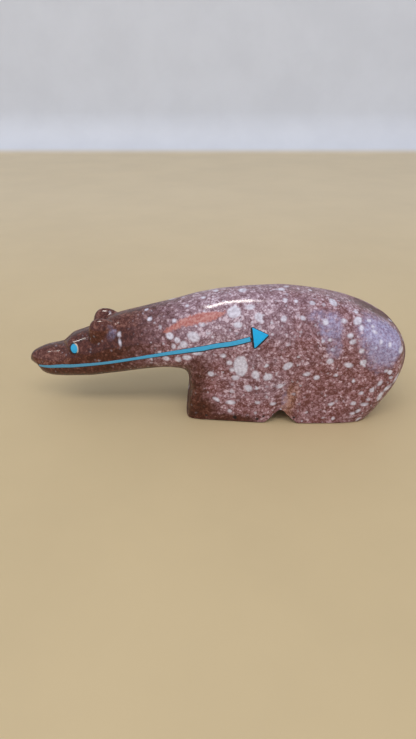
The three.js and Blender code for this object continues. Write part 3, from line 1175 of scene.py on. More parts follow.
@dataclass
class Heartline(Inlay):
    """The long strip from the mouth to the shoulder, which widens on its way."""

    # The places that its middle goes through, on a Catmull-Rom curve
    places: tuple[Place, ...] = (
        (-46.9, 38.9), (-40.2, 41.7), (-33.6, 44.7), (-27.2, 47.7), (-18.9, 52.8), (-10.7, 58.4), (-2.6, 63.5),
        (3.2, 66.4), (8.2, 70.8),
    )
    shares: tuple[float, ...] = (0.0, 0.06, 0.13, 0.3, 0.5, 0.66, 0.77, 1.0)  # shares of its length
    widths: tuple[float, ...] = (0.46, 0.7, 0.84, 0.66, 0.68, 0.86, 1.02, 1.0)  # its width at each of them
    seams: tuple[float, ...] = (0.05, 0.05, 0.05, 0.05, 0.07, 0.13, 0.19, 0.15)  # glue's mean width at each of them
    below: float = 1.2  # how much wider the glue is along each edge
    above: float = 0.6
    steps: int = 260
    seam_play: float = 0.05
    hand: float = 0.03

    def middle(self, share: Array) -> Array:
        """Points of the middle line, a Catmull-Rom curve.

        Args:
            share: Shares of the way from the first place to the last.

        Returns:
            The points, one row a share.
        """
        nodes = self.view.points(self.places)
        nodes = np.vstack([2 * nodes[0] - nodes[1], nodes, 2 * nodes[-1] - nodes[-2]])
        u = share * (len(nodes) - 3)
        first = np.clip(np.floor(u).astype(int), 0, len(nodes) - 4)
        s = (u - first)[:, None]
        a, b, c, d = (nodes[first + k] for k in range(4))
        return 0.5 * (2 * b + (c - a) * s + (2 * a - 5 * b + 4 * c - d) * s**2 + (3 * b - a - 3 * c + d) * s**3)

    def run(self) -> tuple[Array, Array]:
        """Evenly spaced points of the middle line.

        Returns:
            The points, and the unit directions along the line there.
        """
        fine = self.middle(np.linspace(0, 1, 8 * self.steps))
        travelled = np.concatenate([[0], np.cumsum(np.hypot(*np.diff(fine, axis=0).T))])
        wanted = np.linspace(0, travelled[-1], self.steps + 1)
        points = np.stack([np.interp(wanted, travelled, fine[:, k]) for k in range(2)], axis=1)
        along = np.gradient(points, axis=0)
        return points, along / np.linalg.norm(along, axis=1, keepdims=True)

    def seam_profile(self) -> Array:
        """The glue's mean width down one side and back up the other."""
        seam = np.interp(np.linspace(0, 1, self.steps + 1), self.shares, self.seams)
        return np.concatenate([self.below * seam, self.above * seam[::-1]])

    def outline(self, margin: Array | float) -> Outline:
        """Down one side of the middle line and back up the other, with the margin past both ends."""
        points, along = self.run()
        across = np.stack([-along[:, 1], along[:, 0]], axis=1)
        margin = np.broadcast_to(margin, 2 * len(points))
        half = np.interp(np.linspace(0, 1, len(points)), self.shares, self.widths) / 2
        lower, upper = margin[: len(points)], margin[len(points) :][::-1]
        ends = np.zeros(len(points))
        ends[0], ends[-1] = -1.0, 1.0

        def edge(grown: Array, sign: float) -> Array:
            """The edge on one side of the middle line, grown by its own margin."""
            return points + along * (ends * grown)[:, None] + across * (sign * (half + grown))[:, None]

        return Outline(
            edge=np.vstack([edge(lower, -1.0), edge(upper, 1.0)[::-1]]),
            spine=np.vstack([points, points[::-1]]),
        )


@dataclass
class Arrowhead(Inlay):
    """The triangle past the end of the heartline, pointing along it."""

    # Its lower corner, its tip and its upper corner
    corners: tuple[Place, ...] = ((9.3, 63.8), (12.6, 74.3), (8.6, 79.2))
    edge_seams: tuple[float, ...] = (0.3, 0.12, 0.42)  # glue's mean width below, above and at the base
    edge_steps: int = 36  # how many steps each edge is drawn in
    softening: int = 3  # how often the glue's widths and the edges' directions are evened out at the corners
    seam_play: float = 0.07
    corner: float = 0.1  # how far its corners are rounded off

    def _evened(self, values: Array) -> Array:
        """Values along the outline, each drawn towards its neighbours.

        Args:
            values: One row a point of the outline.

        Returns:
            The values, evened out.
        """
        for _ in range(self.softening):
            values = (np.roll(values, 1, axis=0) + 2 * values + np.roll(values, -1, axis=0)) / 4
        return values

    def seam_profile(self) -> Array:
        """The glue's mean width at each point of the outline."""
        return self._evened(np.repeat(self.edge_seams, self.edge_steps))

    def chalk_profile(self) -> Array:
        """Pale glue in places along both edges that meet at the tip, and none at the base."""
        return super().chalk_profile() * np.repeat([1.0, 1.0, 0.0], self.edge_steps)

    def outline(self, margin: Array | float) -> Outline:
        """A triangle whose edges all move out by the margin, walked corner by corner."""
        corners = self.view.points(self.corners)
        share = np.linspace(0, 1, self.edge_steps, endpoint=False)[:, None]
        edges, moves = [], []
        for corner, following in zip(corners, np.roll(corners, -1, axis=0)):
            line = (following - corner) / np.hypot(*(following - corner))
            edges.append(corner + (following - corner) * share)
            moves.append(np.broadcast_to([line[1], -line[0]], (self.edge_steps, 2)))
        middle = corners.mean(axis=0)
        edge = np.vstack(edges)
        reach = np.hypot(*(edge - middle).T)
        edge -= (edge - middle) * (self.corner * (reach / reach.max()) ** 8 / reach)[:, None]
        grown = edge + self._evened(np.vstack(moves)) * np.broadcast_to(margin, len(edge))[:, None]
        return Outline(edge=grown, spine=np.broadcast_to(middle, edge.shape))


@dataclass
class Eye(Inlay):
    """The dot of the eye, a little taller than it is long."""

    place: Place = (-36.4, 56.0)
    long: float = 1.6
    tall: float = 1.7
    sides: int = 72  # how many points its edge has
    chalk_turn: float = 22.0  # side where the glue is pale, as an angle above the direction of the tail
    seam: float = 0.24
    seam_play: float = 0.09

    def chalk_profile(self) -> Array:
        """Pale glue on the side that the angle chalk_turn points to."""
        angle = full_turn(self.sides) - math.radians(self.chalk_turn)
        return smooth_step(0.15, 0.75, np.cos(angle))

    def outline(self, margin: Array | float) -> Outline:
        """An ellipse whose two radii are grown by the margin."""
        angle = full_turn(self.sides)
        middle = self.view.point(self.place)
        across = np.cos(angle) * (self.long / 2 + margin)
        up = np.sin(angle) * (self.tall / 2 + margin)
        edge = middle + np.stack([across, up], axis=1)
        return Outline(edge=edge, spine=np.broadcast_to(middle, edge.shape))


class Graph:
    """Adds nodes to a node tree and links them, with values or other sockets as inputs."""

    def __init__(self, tree: Tree) -> None:
        """A graph over a tree that is there already."""
        self.tree = tree

    def node(self, kind: str, inputs: dict[str | int, object] | None = None, **settings: object) -> Node:
        """A new node.

        Args:
            kind: Its type.
            inputs: Values or sockets for its inputs, by name or number.
            **settings: Its other properties.

        Returns:
            The node.
        """
        made = self.tree.nodes.new(kind)
        for name, value in settings.items():
            setattr(made, name, value)
        for key, value in (inputs or {}).items():
            self.feed(made.inputs[key], value)
        return made

    def feed(self, socket: Socket, value: object) -> None:
        """Links a socket to another one, or gives it a value.

        Args:
            socket: The input.
            value: A socket or a value.
        """
        if isinstance(value, Socket):
            self.tree.links.new(value, socket)
        else:
            socket.default_value = value

    def math(self, operation: str, *values: object, clamp: bool = False) -> Socket:
        """The result of a Math node."""
        return self.node("ShaderNodeMath", dict(enumerate(values)), operation=operation, use_clamp=clamp).outputs[0]

    def times(self, first: object, second: object) -> Socket:
        """The product of two numbers."""
        return self.math("MULTIPLY", first, second)

    def times_plus(self, first: object, second: object, third: object, clamp: bool = False) -> Socket:
        """The product of two numbers plus a third."""
        return self.math("MULTIPLY_ADD", first, second, third, clamp=clamp)

    def line(
        self, value: object, low: object, high: object, start: object = 0.0, end: object = 1.0, kind: str = "LINEAR"
    ) -> Socket:
        """A clamped ramp of a value, straight unless kind says otherwise.

        Args:
            value: The value.
            low: Where the ramp starts.
            high: Where it ends.
            start: What it gives up to low.
            end: What it gives from high on.
            kind: How it goes from one to the other.

        Returns:
            The ramp's result.
        """
        inputs = {"Value": value, "From Min": low, "From Max": high, "To Min": start, "To Max": end}
        return self.node("ShaderNodeMapRange", inputs, interpolation_type=kind).outputs[0]

    def ramp(self, value: object, low: float, high: float, start: float = 0.0, end: float = 1.0) -> Socket:
        """A smooth ramp of a value from start at low to end at high."""
        return self.line(value, low, high, start, end, "SMOOTHSTEP")

    def mix(self, share: object, first: object, second: object) -> Socket:
        """Two colours mixed by a share of the second."""
        made = self.node("ShaderNodeMix", {0: share, 6: first, 7: second}, data_type="RGBA", clamp_factor=True)
        return made.outputs[2]

    def mix_value(self, share: object, first: object, second: object) -> Socket:
        """A number between two others."""
        return self.times_plus(share, self.math("SUBTRACT", second, first), first)

    def cover(self, under: object, over: object, mask: object, most: float) -> Socket:
        """One colour laid over another where a mask is, at most so thickly."""
        return self.mix(self.times(mask, most), under, over)

    def vector(self, operation: str, first: object, second: object) -> Socket:
        """The result of a Vector Math node."""
        return self.node("ShaderNodeVectorMath", {0: first, 1: second}, operation=operation).outputs[0]

    def scaled(self, vector: object, scale: object) -> Socket:
        """A vector times a number."""
        return self.node("ShaderNodeVectorMath", {"Vector": vector, "Scale": scale}, operation="SCALE").outputs[0]

    def noise(self, vector: object, scale: object, detail: float, rough: float, output: str = "Fac") -> Socket:
        """A noise texture."""
        inputs = {"Vector": vector, "Scale": scale, "Detail": detail, "Roughness": rough}
        return self.node("ShaderNodeTexNoise", inputs).outputs[output]

    def group(self, group: Tree, **inputs: object) -> dict[str, Socket]:
        """Places a node group.

        Args:
            group: The node group.
            **inputs: Values or sockets for its inputs.

        Returns:
            Its outputs, by name.
        """
        made = self.node("ShaderNodeGroup", node_tree=group)
        for name, value in inputs.items():
            self.feed(made.inputs[name], value)
        return {socket.name: socket for socket in made.outputs}


class Coat(Graph):
    """A new material's graph, with its shader and with patterns that run through the piece."""

    def __init__(self, name: str) -> None:
        """A coat that has nothing on its shader yet, with the object's coordinates in millimetres."""
        self.material = bpy.data.materials.new(name)
        self.material.use_nodes = True
        super().__init__(self.material.node_tree)
        self.shader = self.tree.nodes["Principled BSDF"]
        self.mm = self.scaled(self.node("ShaderNodeTexCoord").outputs["Object"], 1 / MM)

    def grain(self, scale: float, detail: float, rough: float) -> Socket:
        """Noise through the piece, with scale waves a millimetre."""
        return self.noise(self.mm, scale, detail, rough)

    def painted(self, mark: str) -> Socket:
        """A number painted on the vertices."""
        return self.node("ShaderNodeAttribute", attribute_name=mark).outputs["Fac"]

    def torn(self, mark: Mark, tear: float) -> Socket:
        """A painted soft mask, broken up by noise where it is neither 0 nor 1.

        Args:
            mark: What is painted.
            tear: How strongly the noise breaks it up.

        Returns:
            The mask m plus 4 m (1 - m) times the noise.
        """
        value = self.painted(mark.value)
        middle = self.times(self.times(value, self.math("SUBTRACT", 1.0, value)), 4.0)
        push = self.times(self.math("SUBTRACT", self.grain(0.9, 5.0, 0.7), 0.5), 2.0 * tear)
        return self.times_plus(middle, push, value, clamp=True)

    def edged(self, mark: Mark, edge: "Edge") -> Socket:
        """A mask that is 1 where a painted depth is above 0, with an uneven edge."""
        off = self.math("SUBTRACT", self.grain(edge.scale, 3.0, 0.6), 0.5)
        return self.ramp(self.times_plus(off, 2.0 * edge.tear, self.painted(mark.value)), -edge.soft, edge.soft)

    def mottled(self, mottle: "Mottle") -> Socket:
        """A mottle's colours in their blotches."""
        share = self.ramp(self.grain(mottle.scale, mottle.detail, mottle.rough), mottle.low, mottle.high)
        return self.mix(share, linear(mottle.deep), linear(mottle.pale))

    def dress(self, colour: Socket, rough: Socket, height: Socket, strength: float) -> Material:
        """Feeds the shader.

        Args:
            colour: The colour of the surface.
            rough: Its roughness.
            height: Its fine relief, in hundredths of a millimetre.
            strength: How strongly the relief shows.

        Returns:
            The finished material.
        """
        bump = self.node("ShaderNodeBump", {"Strength": strength, "Distance": 0.01 * MM, "Height": height})
        for name, socket in (("Base Color", colour), ("Roughness", rough), ("Normal", bump.outputs[0])):
            self.feed(self.shader.inputs[name], socket)
        return self.material


@dataclass(frozen=True)
class Edge:
    """The uneven edge of a painted mark."""

    tear: float  # how far noise moves it
    scale: float  # noise's waves a millimetre
    soft: float  # half its width


@dataclass(frozen=True)
class Mottle:
    """Two colours in soft blotches."""

    deep: Colour  # colours where the noise is low and where it is high
    pale: Colour
    scale: float  # noise's waves a millimetre
    detail: float  # how many finer waves it has, and how strong they are
    rough: float
    low: float  # values of the noise between which the colours blend
    high: float


def new_group(name: str, inputs: str, outputs: str) -> tuple[Graph, Node, Node]:
    """An empty shader node group that takes a Vector and some numbers and puts out numbers.

    Args:
        name: The group's name.
        inputs: The names of its other inputs, a word each.
        outputs: The names of its outputs, a word each.

    Returns:
        A graph over the group, its input node and its output node.
    """
    tree = bpy.data.node_groups.new(name, "ShaderNodeTree")
    tree.interface.new_socket("Vector", in_out="INPUT", socket_type="NodeSocketVector")
    for way, words in (("INPUT", inputs), ("OUTPUT", outputs)):
        for word in words.split():
            tree.interface.new_socket(word, in_out=way, socket_type="NodeSocketFloat")
    return Graph(tree), tree.nodes.new("NodeGroupInput"), tree.nodes.new("NodeGroupOutput")


def bent_cells(graph: Graph, given: Node, scale: float, detail: float) -> Socket:
    """Coordinates in cells, bent by noise: Vector / Cell + (noise - 0.5) * Ragged.

    Args:
        graph: The group's graph.
        given: Its input node.
        scale: The noise's waves a cell.
        detail: How many finer waves it has.

    Returns:
        The coordinates.
    """
    per_cell = graph.vector("DIVIDE", given.outputs["Vector"], given.outputs["Cell"])
    centred = graph.vector("SUBTRACT", graph.noise(per_cell, scale, detail, 0.6, "Color"), (0.5, 0.5, 0.5))
    return graph.vector("ADD", per_cell, graph.scaled(centred, given.outputs["Ragged"]))


def speckles_group() -> Tree:
    """Blobs scattered through the material, each cell of a Voronoi pattern holding one or none.

    Returns:
        A group whose Mask is 1 in a blob and whose Tone is a random number for each blob.
    """
    graph, given, result = new_group("Speckles", "Cell Share Smallest Largest Softness Ragged", "Mask Tone")
    take = given.outputs
    moved = bent_cells(graph, given, 1.7, 2.0)
    cells = graph.node("ShaderNodeTexVoronoi", {"Vector": moved, "Scale": 1.0, "Randomness": 0.95}).outputs
    chance, size, tone = graph.node("ShaderNodeSeparateColor", {0: cells["Color"]}).outputs
    radius = graph.line(size, 0.0, 1.0, take["Smallest"], take["Largest"])
    blob = graph.line(cells["Distance"], graph.math("SUBTRACT", radius, take["Softness"]), radius, 1.0, 0.0)
    graph.feed(result.inputs["Mask"], graph.times(blob, graph.math("LESS_THAN", chance, take["Share"])))
    graph.feed(result.inputs["Tone"], tone)
    return graph.tree


def cobbles_group() -> Tree:
    """Grains packed side by side, the cells of a Voronoi pattern bent by noise.

    Returns:
        A group whose Tone is a random number for each grain, and whose Joint is 1 between grains.
    """
    graph, given, result = new_group("Cobbles", "Cell Joint Ragged", "Tone Joint")
    width = given.outputs["Joint"]
    inputs = {"Vector": bent_cells(graph, given, 0.9, 3.0), "Scale": 1.0, "Randomness": 1.0}
    cells = graph.node("ShaderNodeTexVoronoi", inputs).outputs["Color"]
    edges = graph.node("ShaderNodeTexVoronoi", inputs, feature="DISTANCE_TO_EDGE").outputs["Distance"]
    graph.feed(result.inputs["Tone"], graph.node("ShaderNodeSeparateColor", {0: cells}).outputs[0])
    graph.feed(result.inputs["Joint"], graph.line(edges, graph.times(width, 0.25), width, 1.0, 0.0))
    return graph.tree


def polish_group() -> Tree:
    """The finish of a surface rubbed by hand: smudges, and fine marks left by the polishing grit.

    Returns:
        A group that puts out a roughness, and a height for a bump.
    """
    graph, given, result = new_group("Polish", "Smooth Dull Grain", "Roughness Height")
    take = given.outputs
    smudge = graph.noise(take["Vector"], 0.35, 4.0, 0.62)
    grit = graph.noise(take["Vector"], take["Grain"], 3.0, 0.7)
    stretch = {"Vector": take["Vector"], "Rotation": (0.3, 0.5, 0.2), "Scale": (0.5, 6.0, 9.0)}
    scratch = graph.noise(graph.node("ShaderNodeMapping", stretch).outputs[0], 1.3, 2.0, 0.8)
    wear = graph.times_plus(grit, 0.35, graph.times(smudge, 0.65))
    graph.feed(result.inputs["Roughness"], graph.line(wear, 0.35, 0.65, take["Smooth"], take["Dull"]))
    graph.feed(result.inputs["Height"], graph.times_plus(scratch, 0.35, graph.times(grit, 0.65)))
    return graph.tree


@dataclass
class Effects:
    """The node groups that more than one material uses, each built once."""

    speckles: Tree = field(default_factory=speckles_group)
    cobbles: Tree = field(default_factory=cobbles_group)
    polish: Tree = field(default_factory=polish_group)


@dataclass(frozen=True)
class Layer:
    """One size of pale speck in the stone, in the terms of the speckles group."""

    cell: float  # mean distance between places for a speck
    share: float  # share of places that hold one where the stone is pale
    share_dark: float  # share where it is dark
    smallest: float  # smallest radius, in cells
    largest: float  # largest radius, in cells
    softness: float  # width of the soft edge, in cells
    ragged: float  # how far the edge is torn, in cells
    strength: float  # how fully the specks cover the stone


@dataclass(frozen=True)
class Stop:
    """One shade of the ground mass, as it is in the redder, the greyer and the brown parts, and under the painted
    reflection of the floor.
    """

    warm: Colour
    mauve: Colour
    brown: Colour
    ochre: Colour


@dataclass(frozen=True)
class StoneFinish:
    """Polished red-brown stone, mottled with pale grains and specked with crystals of several sizes."""

    # The colours of the ground mass, from the deepest to the palest; the last colour of each is a painted reflection of
    # the floor
    stops: tuple[Stop, ...] = (
        Stop(warm=(103, 59, 55), mauve=(108, 76, 82), brown=(56, 22, 14), ochre=(112, 70, 56)),
        Stop(warm=(152, 111, 114), mauve=(148, 121, 130), brown=(82, 40, 29), ochre=(162, 119, 104)),
        Stop(warm=(212, 190, 198), mauve=(206, 188, 197), brown=(124, 82, 70), ochre=(186, 152, 140)),
    )
    grain: float = 0.72  # mean size of the larger grains
    small: float = 0.45  # size of the smaller ones beside it
    small_share: float = 0.4  # how much of a point's shade comes from the smaller grains
    joint: float = 0.3  # width of the joints between grains, in cells
    bent: float = 0.6  # how far the grains are bent, in cells
    lift: float = -0.22  # how much paler than its own random shade every grain is
    pale_lift: float = 0.4  # how much paler it gets with the painted value, and in the natural clouds
    cloud_lift: float = 0.3
    joint_depth: float = 0.62  # how much deeper the joints are
    calm: float = 0.15  # share by which brown stone loses its shades
    # The crystals, from the finest
    layers: tuple[Layer, ...] = (
        Layer(1.0, 0.42, 0.22, 0.2, 0.42, 0.26, 0.7, 0.62),
        Layer(2.0, 0.5, 0.05, 0.14, 0.36, 0.16, 0.5, 0.9),
    )
    torn: float = 0.9  # how ragged the brown parts and the painted reflection of the floor are
    haze: Mottle = Mottle((132, 122, 156), (178, 182, 218), 1.7, 5.0, 0.75, 0.4, 0.6)  # grey lavender clouds, partly the stone's own tint and partly a painted reflection of the light
    haze_and_sheen_torn: float = 1.1
    haze_and_sheen_cover: float = 0.72
    crystal: Mottle = Mottle((183, 178, 190), (227, 228, 239), 1.6, 4.0, 0.6, 0.3, 0.7)
    crystal_edge: Edge = Edge(tear=0.22, scale=1.1, soft=0.24)
    crystal_cover: float = 0.9
    vein: Mottle = Mottle((172, 96, 84), (196, 140, 130), 1.9, 4.0, 0.6, 0.38, 0.62)  # salmon vein at the shoulder
    vein_edge: Edge = Edge(tear=0.75, scale=1.5, soft=0.28)
    vein_cover: float = 0.85
    pit: Colour = (26, 14, 12)  # dirt in the pits
    pit_edge: Edge = Edge(tear=0.3, scale=2.0, soft=0.08)
    smooth: float = 0.08  # limits of the roughness
    dull: float = 0.15
    grit: float = 3.0  # polish's fine waves a millimetre
    # How square the surface is to the view where it starts to look duller, and is dullest
    edge_on: Span = (0.62, 0.92)
    edge_dull: float = 0.5  # roughness that is added there
    bump: float = 0.12  # how strongly the fine relief shows
    ior: float = 1.43

    def material(self, effects: Effects) -> Material:
        """The stone's material.

        Args:
            effects: The shared node groups.

        Returns:
            The material.
        """
        coat = Coat("polished_speckled_stone")
        dark = coat.torn(Mark.DARK, self.torn)
        pale = coat.painted(Mark.PALE.value)
        colour, grains = self._ground_mass(coat, dark, pale, effects)
        colour, specks = self._specks(coat, colour, dark, pale, effects)
        # lavender clouds laid over the stone: partly its own tint, partly a painted reflection of the light
        colour = coat.cover(colour, coat.mottled(self.haze), coat.torn(Mark.HAZE, self.haze_and_sheen_torn), self.haze_and_sheen_cover)
        crystal = coat.edged(Mark.SPOT, self.crystal_edge)
        colour = coat.cover(colour, coat.mottled(self.crystal), crystal, self.crystal_cover)
        vein = coat.edged(Mark.STREAK, self.vein_edge)
        colour = coat.cover(colour, coat.mottled(self.vein), vein, self.vein_cover)
        pit = coat.edged(Mark.PIT, self.pit_edge)
        colour = coat.mix(pit, colour, linear(self.pit))
        polish = coat.group(effects.polish, Vector=coat.mm, Smooth=self.smooth, Dull=self.dull, Grain=self.grit)
        facing = coat.node("ShaderNodeLayerWeight", {"Blend": 0.5}).outputs["Facing"]
        duller = coat.math("MAXIMUM", coat.times(pit, 0.5), coat.ramp(facing, *self.edge_on, 0.0, self.edge_dull))
        rough = coat.math("ADD", duller, polish["Roughness"], clamp=True)
        raised = coat.times_plus(crystal, 0.4, coat.times_plus(specks, 0.4, grains))
        height = coat.times_plus(pit, -6.0, coat.times_plus(polish["Height"], 0.5, raised))
        coat.shader.inputs["IOR"].default_value = self.ior
        return coat.dress(colour, rough, height, self.bump)

    def _ground_mass(self, coat: Coat, dark: Socket, pale: Socket, effects: Effects) -> tuple[Socket, Socket]:
        """Packed grains of two sizes, each with its own shade and a dark joint around it.

        Args:
            coat: The material's graph.
            dark: Where the stone is brown.
            pale: How pale it is.
            effects: The shared node groups.

        Returns:
            The colour, and how raised the grains are.
        """
        clouds = coat.grain(0.26, 3.0, 0.55)
        hue = coat.ramp(coat.times_plus(clouds, 0.6, coat.math("SUBTRACT", pale, 0.3)), 0.3, 0.85)
        # painted reflection of the floor, where the stops turn to their reflected floor colour
        floor_reflection_mask = coat.torn(Mark.OCHRE, self.torn)
        cell = {"Vector": coat.mm, "Joint": self.joint, "Ragged": self.bent}
        large = coat.group(effects.cobbles, Cell=self.grain, **cell)
        small = coat.group(effects.cobbles, Cell=self.small * self.grain, **cell)
        tone = coat.mix_value(self.small_share, large["Tone"], small["Tone"])
        joint = coat.times_plus(small["Joint"], 0.3, coat.times(large["Joint"], 0.7))
        joint = coat.times(joint, coat.ramp(coat.grain(1.1, 3.0, 0.6), 0.35, 0.65, 0.3, 1.0))
        region = coat.times_plus(pale, self.pale_lift, coat.times_plus(clouds, self.cloud_lift, self.lift))
        shade = coat.times_plus(joint, -self.joint_depth, coat.math("ADD", tone, region))
        shade = coat.mix_value(coat.times(dark, self.calm), shade, 0.38)
        stops = []
        for stop in self.stops:
            colour = coat.mix(hue, linear(stop.warm), linear(stop.mauve))
            stops.append(coat.mix(dark, coat.mix(floor_reflection_mask, colour, linear(stop.ochre)), linear(stop.brown)))
        colour = coat.mix(coat.ramp(shade, 0.0, 0.5), stops[0], stops[1])
        return coat.mix(coat.ramp(shade, 0.5, 1.0), colour, stops[2]), coat.times(joint, -0.3)

    def _specks(
        self, coat: Coat, ground: Socket, dark: Socket, pale: Socket, effects: Effects
    ) -> tuple[Socket, Socket]:
        """Every layer of specks on the ground mass.

        Args:
            coat: The material's graph.
            ground: The colour of the ground mass.
            dark: Where the stone is brown.
            pale: How pale it is.
            effects: The shared node groups.

        Returns:
            The colour, and how much speck there is at a point.
        """
        colour, cover = ground, 0.0
        for number, layer in enumerate(self.layers):
            paler = coat.line(pale, 0.1, 1.0, 0.55 * layer.share, 1.25 * layer.share)
            shifted = coat.node("ShaderNodeMapping", {"Vector": coat.mm, "Location": (7.0 * number, 3.0 * number, 0.0)})
            specks = coat.group(
                effects.speckles, Vector=shifted.outputs[0], Cell=layer.cell, Ragged=layer.ragged,
                Share=coat.line(dark, 0.0, 1.0, paler, layer.share_dark),
                Smallest=layer.smallest, Largest=layer.largest, Softness=layer.softness,
            )
            tone = specks["Tone"]
            faded = coat.line(dark, 0.0, 1.0, layer.strength, 0.45 * layer.strength)
            mask = coat.times(coat.times(specks["Mask"], faded), coat.line(tone, 0.0, 1.0, 0.55, 1.0))
            colour = coat.mix(mask, colour, coat.mix(tone, linear(self.crystal.deep), linear(self.crystal.pale)))
            cover = coat.math("MAXIMUM", cover, mask)
        return colour, cover


@dataclass(frozen=True)
class Shade:
    """A colour that changes along the bear, from the head to the shoulder."""

    head: Colour
    shoulder: Colour


@dataclass(frozen=True)
class TurquoiseFinish:
    """Sky blue turquoise, duller towards the head, with the dark glue around it."""

    bright: Shade = Shade((38, 160, 200), (8, 178, 236))  # colour of the arrowhead and the eye
    line: Shade = Shade((82, 152, 182), (62, 172, 216))
    fleck: Colour = (20, 124, 172)  # colour of its faint mottling
    mottle_cover: float = 0.22  # how fully its blotches and its flecks cover it
    fleck_cover: float = 0.2
    glue: Colour = (24, 16, 18)
    chalk: Colour = (206, 186, 164)  # where the glue has gone pale
    head_end: float = -44.0  # places along the bear that the two ends of a shade are for, in percent
    shoulder_end: float = 2.0
    smooth: float = 0.24  # limits of its roughness
    dull: float = 0.42
    glue_dull: float = 0.22  # how much rougher the glue is
    grit: float = 5.0  # polish's fine waves a millimetre
    bump: float = 0.4  # how strongly the fine relief shows

    def material(self, effects: Effects, view: SideView, name: str, shade: Shade) -> Material:
        """The turquoise's material.

        Args:
            effects: The shared node groups.
            view: The side view.
            name: The material's name.
            shade: Its colours.

        Returns:
            The material.
        """
        coat = Coat(name)
        along = coat.node("ShaderNodeSeparateXYZ", {0: coat.mm}).outputs[0]
        ends = [place * view.length / 100 for place in (self.head_end, self.shoulder_end)]
        colour = coat.mix(coat.ramp(along, *ends), linear(shade.head), linear(shade.shoulder))
        fleck = linear(self.fleck)
        colour = coat.cover(colour, fleck, coat.ramp(coat.grain(1.9, 5.0, 0.7), 0.42, 0.7), self.mottle_cover)
        flecks = coat.group(
            effects.speckles, Vector=coat.mm, Cell=0.5, Share=0.16, Smallest=0.1, Largest=0.3, Softness=0.12, Ragged=0.8
        )
        colour = coat.cover(colour, fleck, flecks["Mask"], self.fleck_cover)
        uneven = coat.grain(2.2, 3.0, 0.6)
        moved = coat.times_plus(coat.math("SUBTRACT", uneven, 0.5), 0.12, coat.painted(RIM))
        glue = coat.ramp(moved, -0.03, 0.02)
        chalky = coat.times(coat.painted(CHALK), coat.ramp(uneven, 0.3, 0.5, 0.4, 0.9))
        seam = coat.mix(chalky, linear(self.glue), linear(self.chalk))
        polish = coat.group(effects.polish, Vector=coat.mm, Smooth=self.smooth, Dull=self.dull, Grain=self.grit)
        rough = coat.times_plus(glue, self.glue_dull, polish["Roughness"], clamp=True)
        return coat.dress(coat.mix(glue, colour, seam), rough, polish["Height"], self.bump)


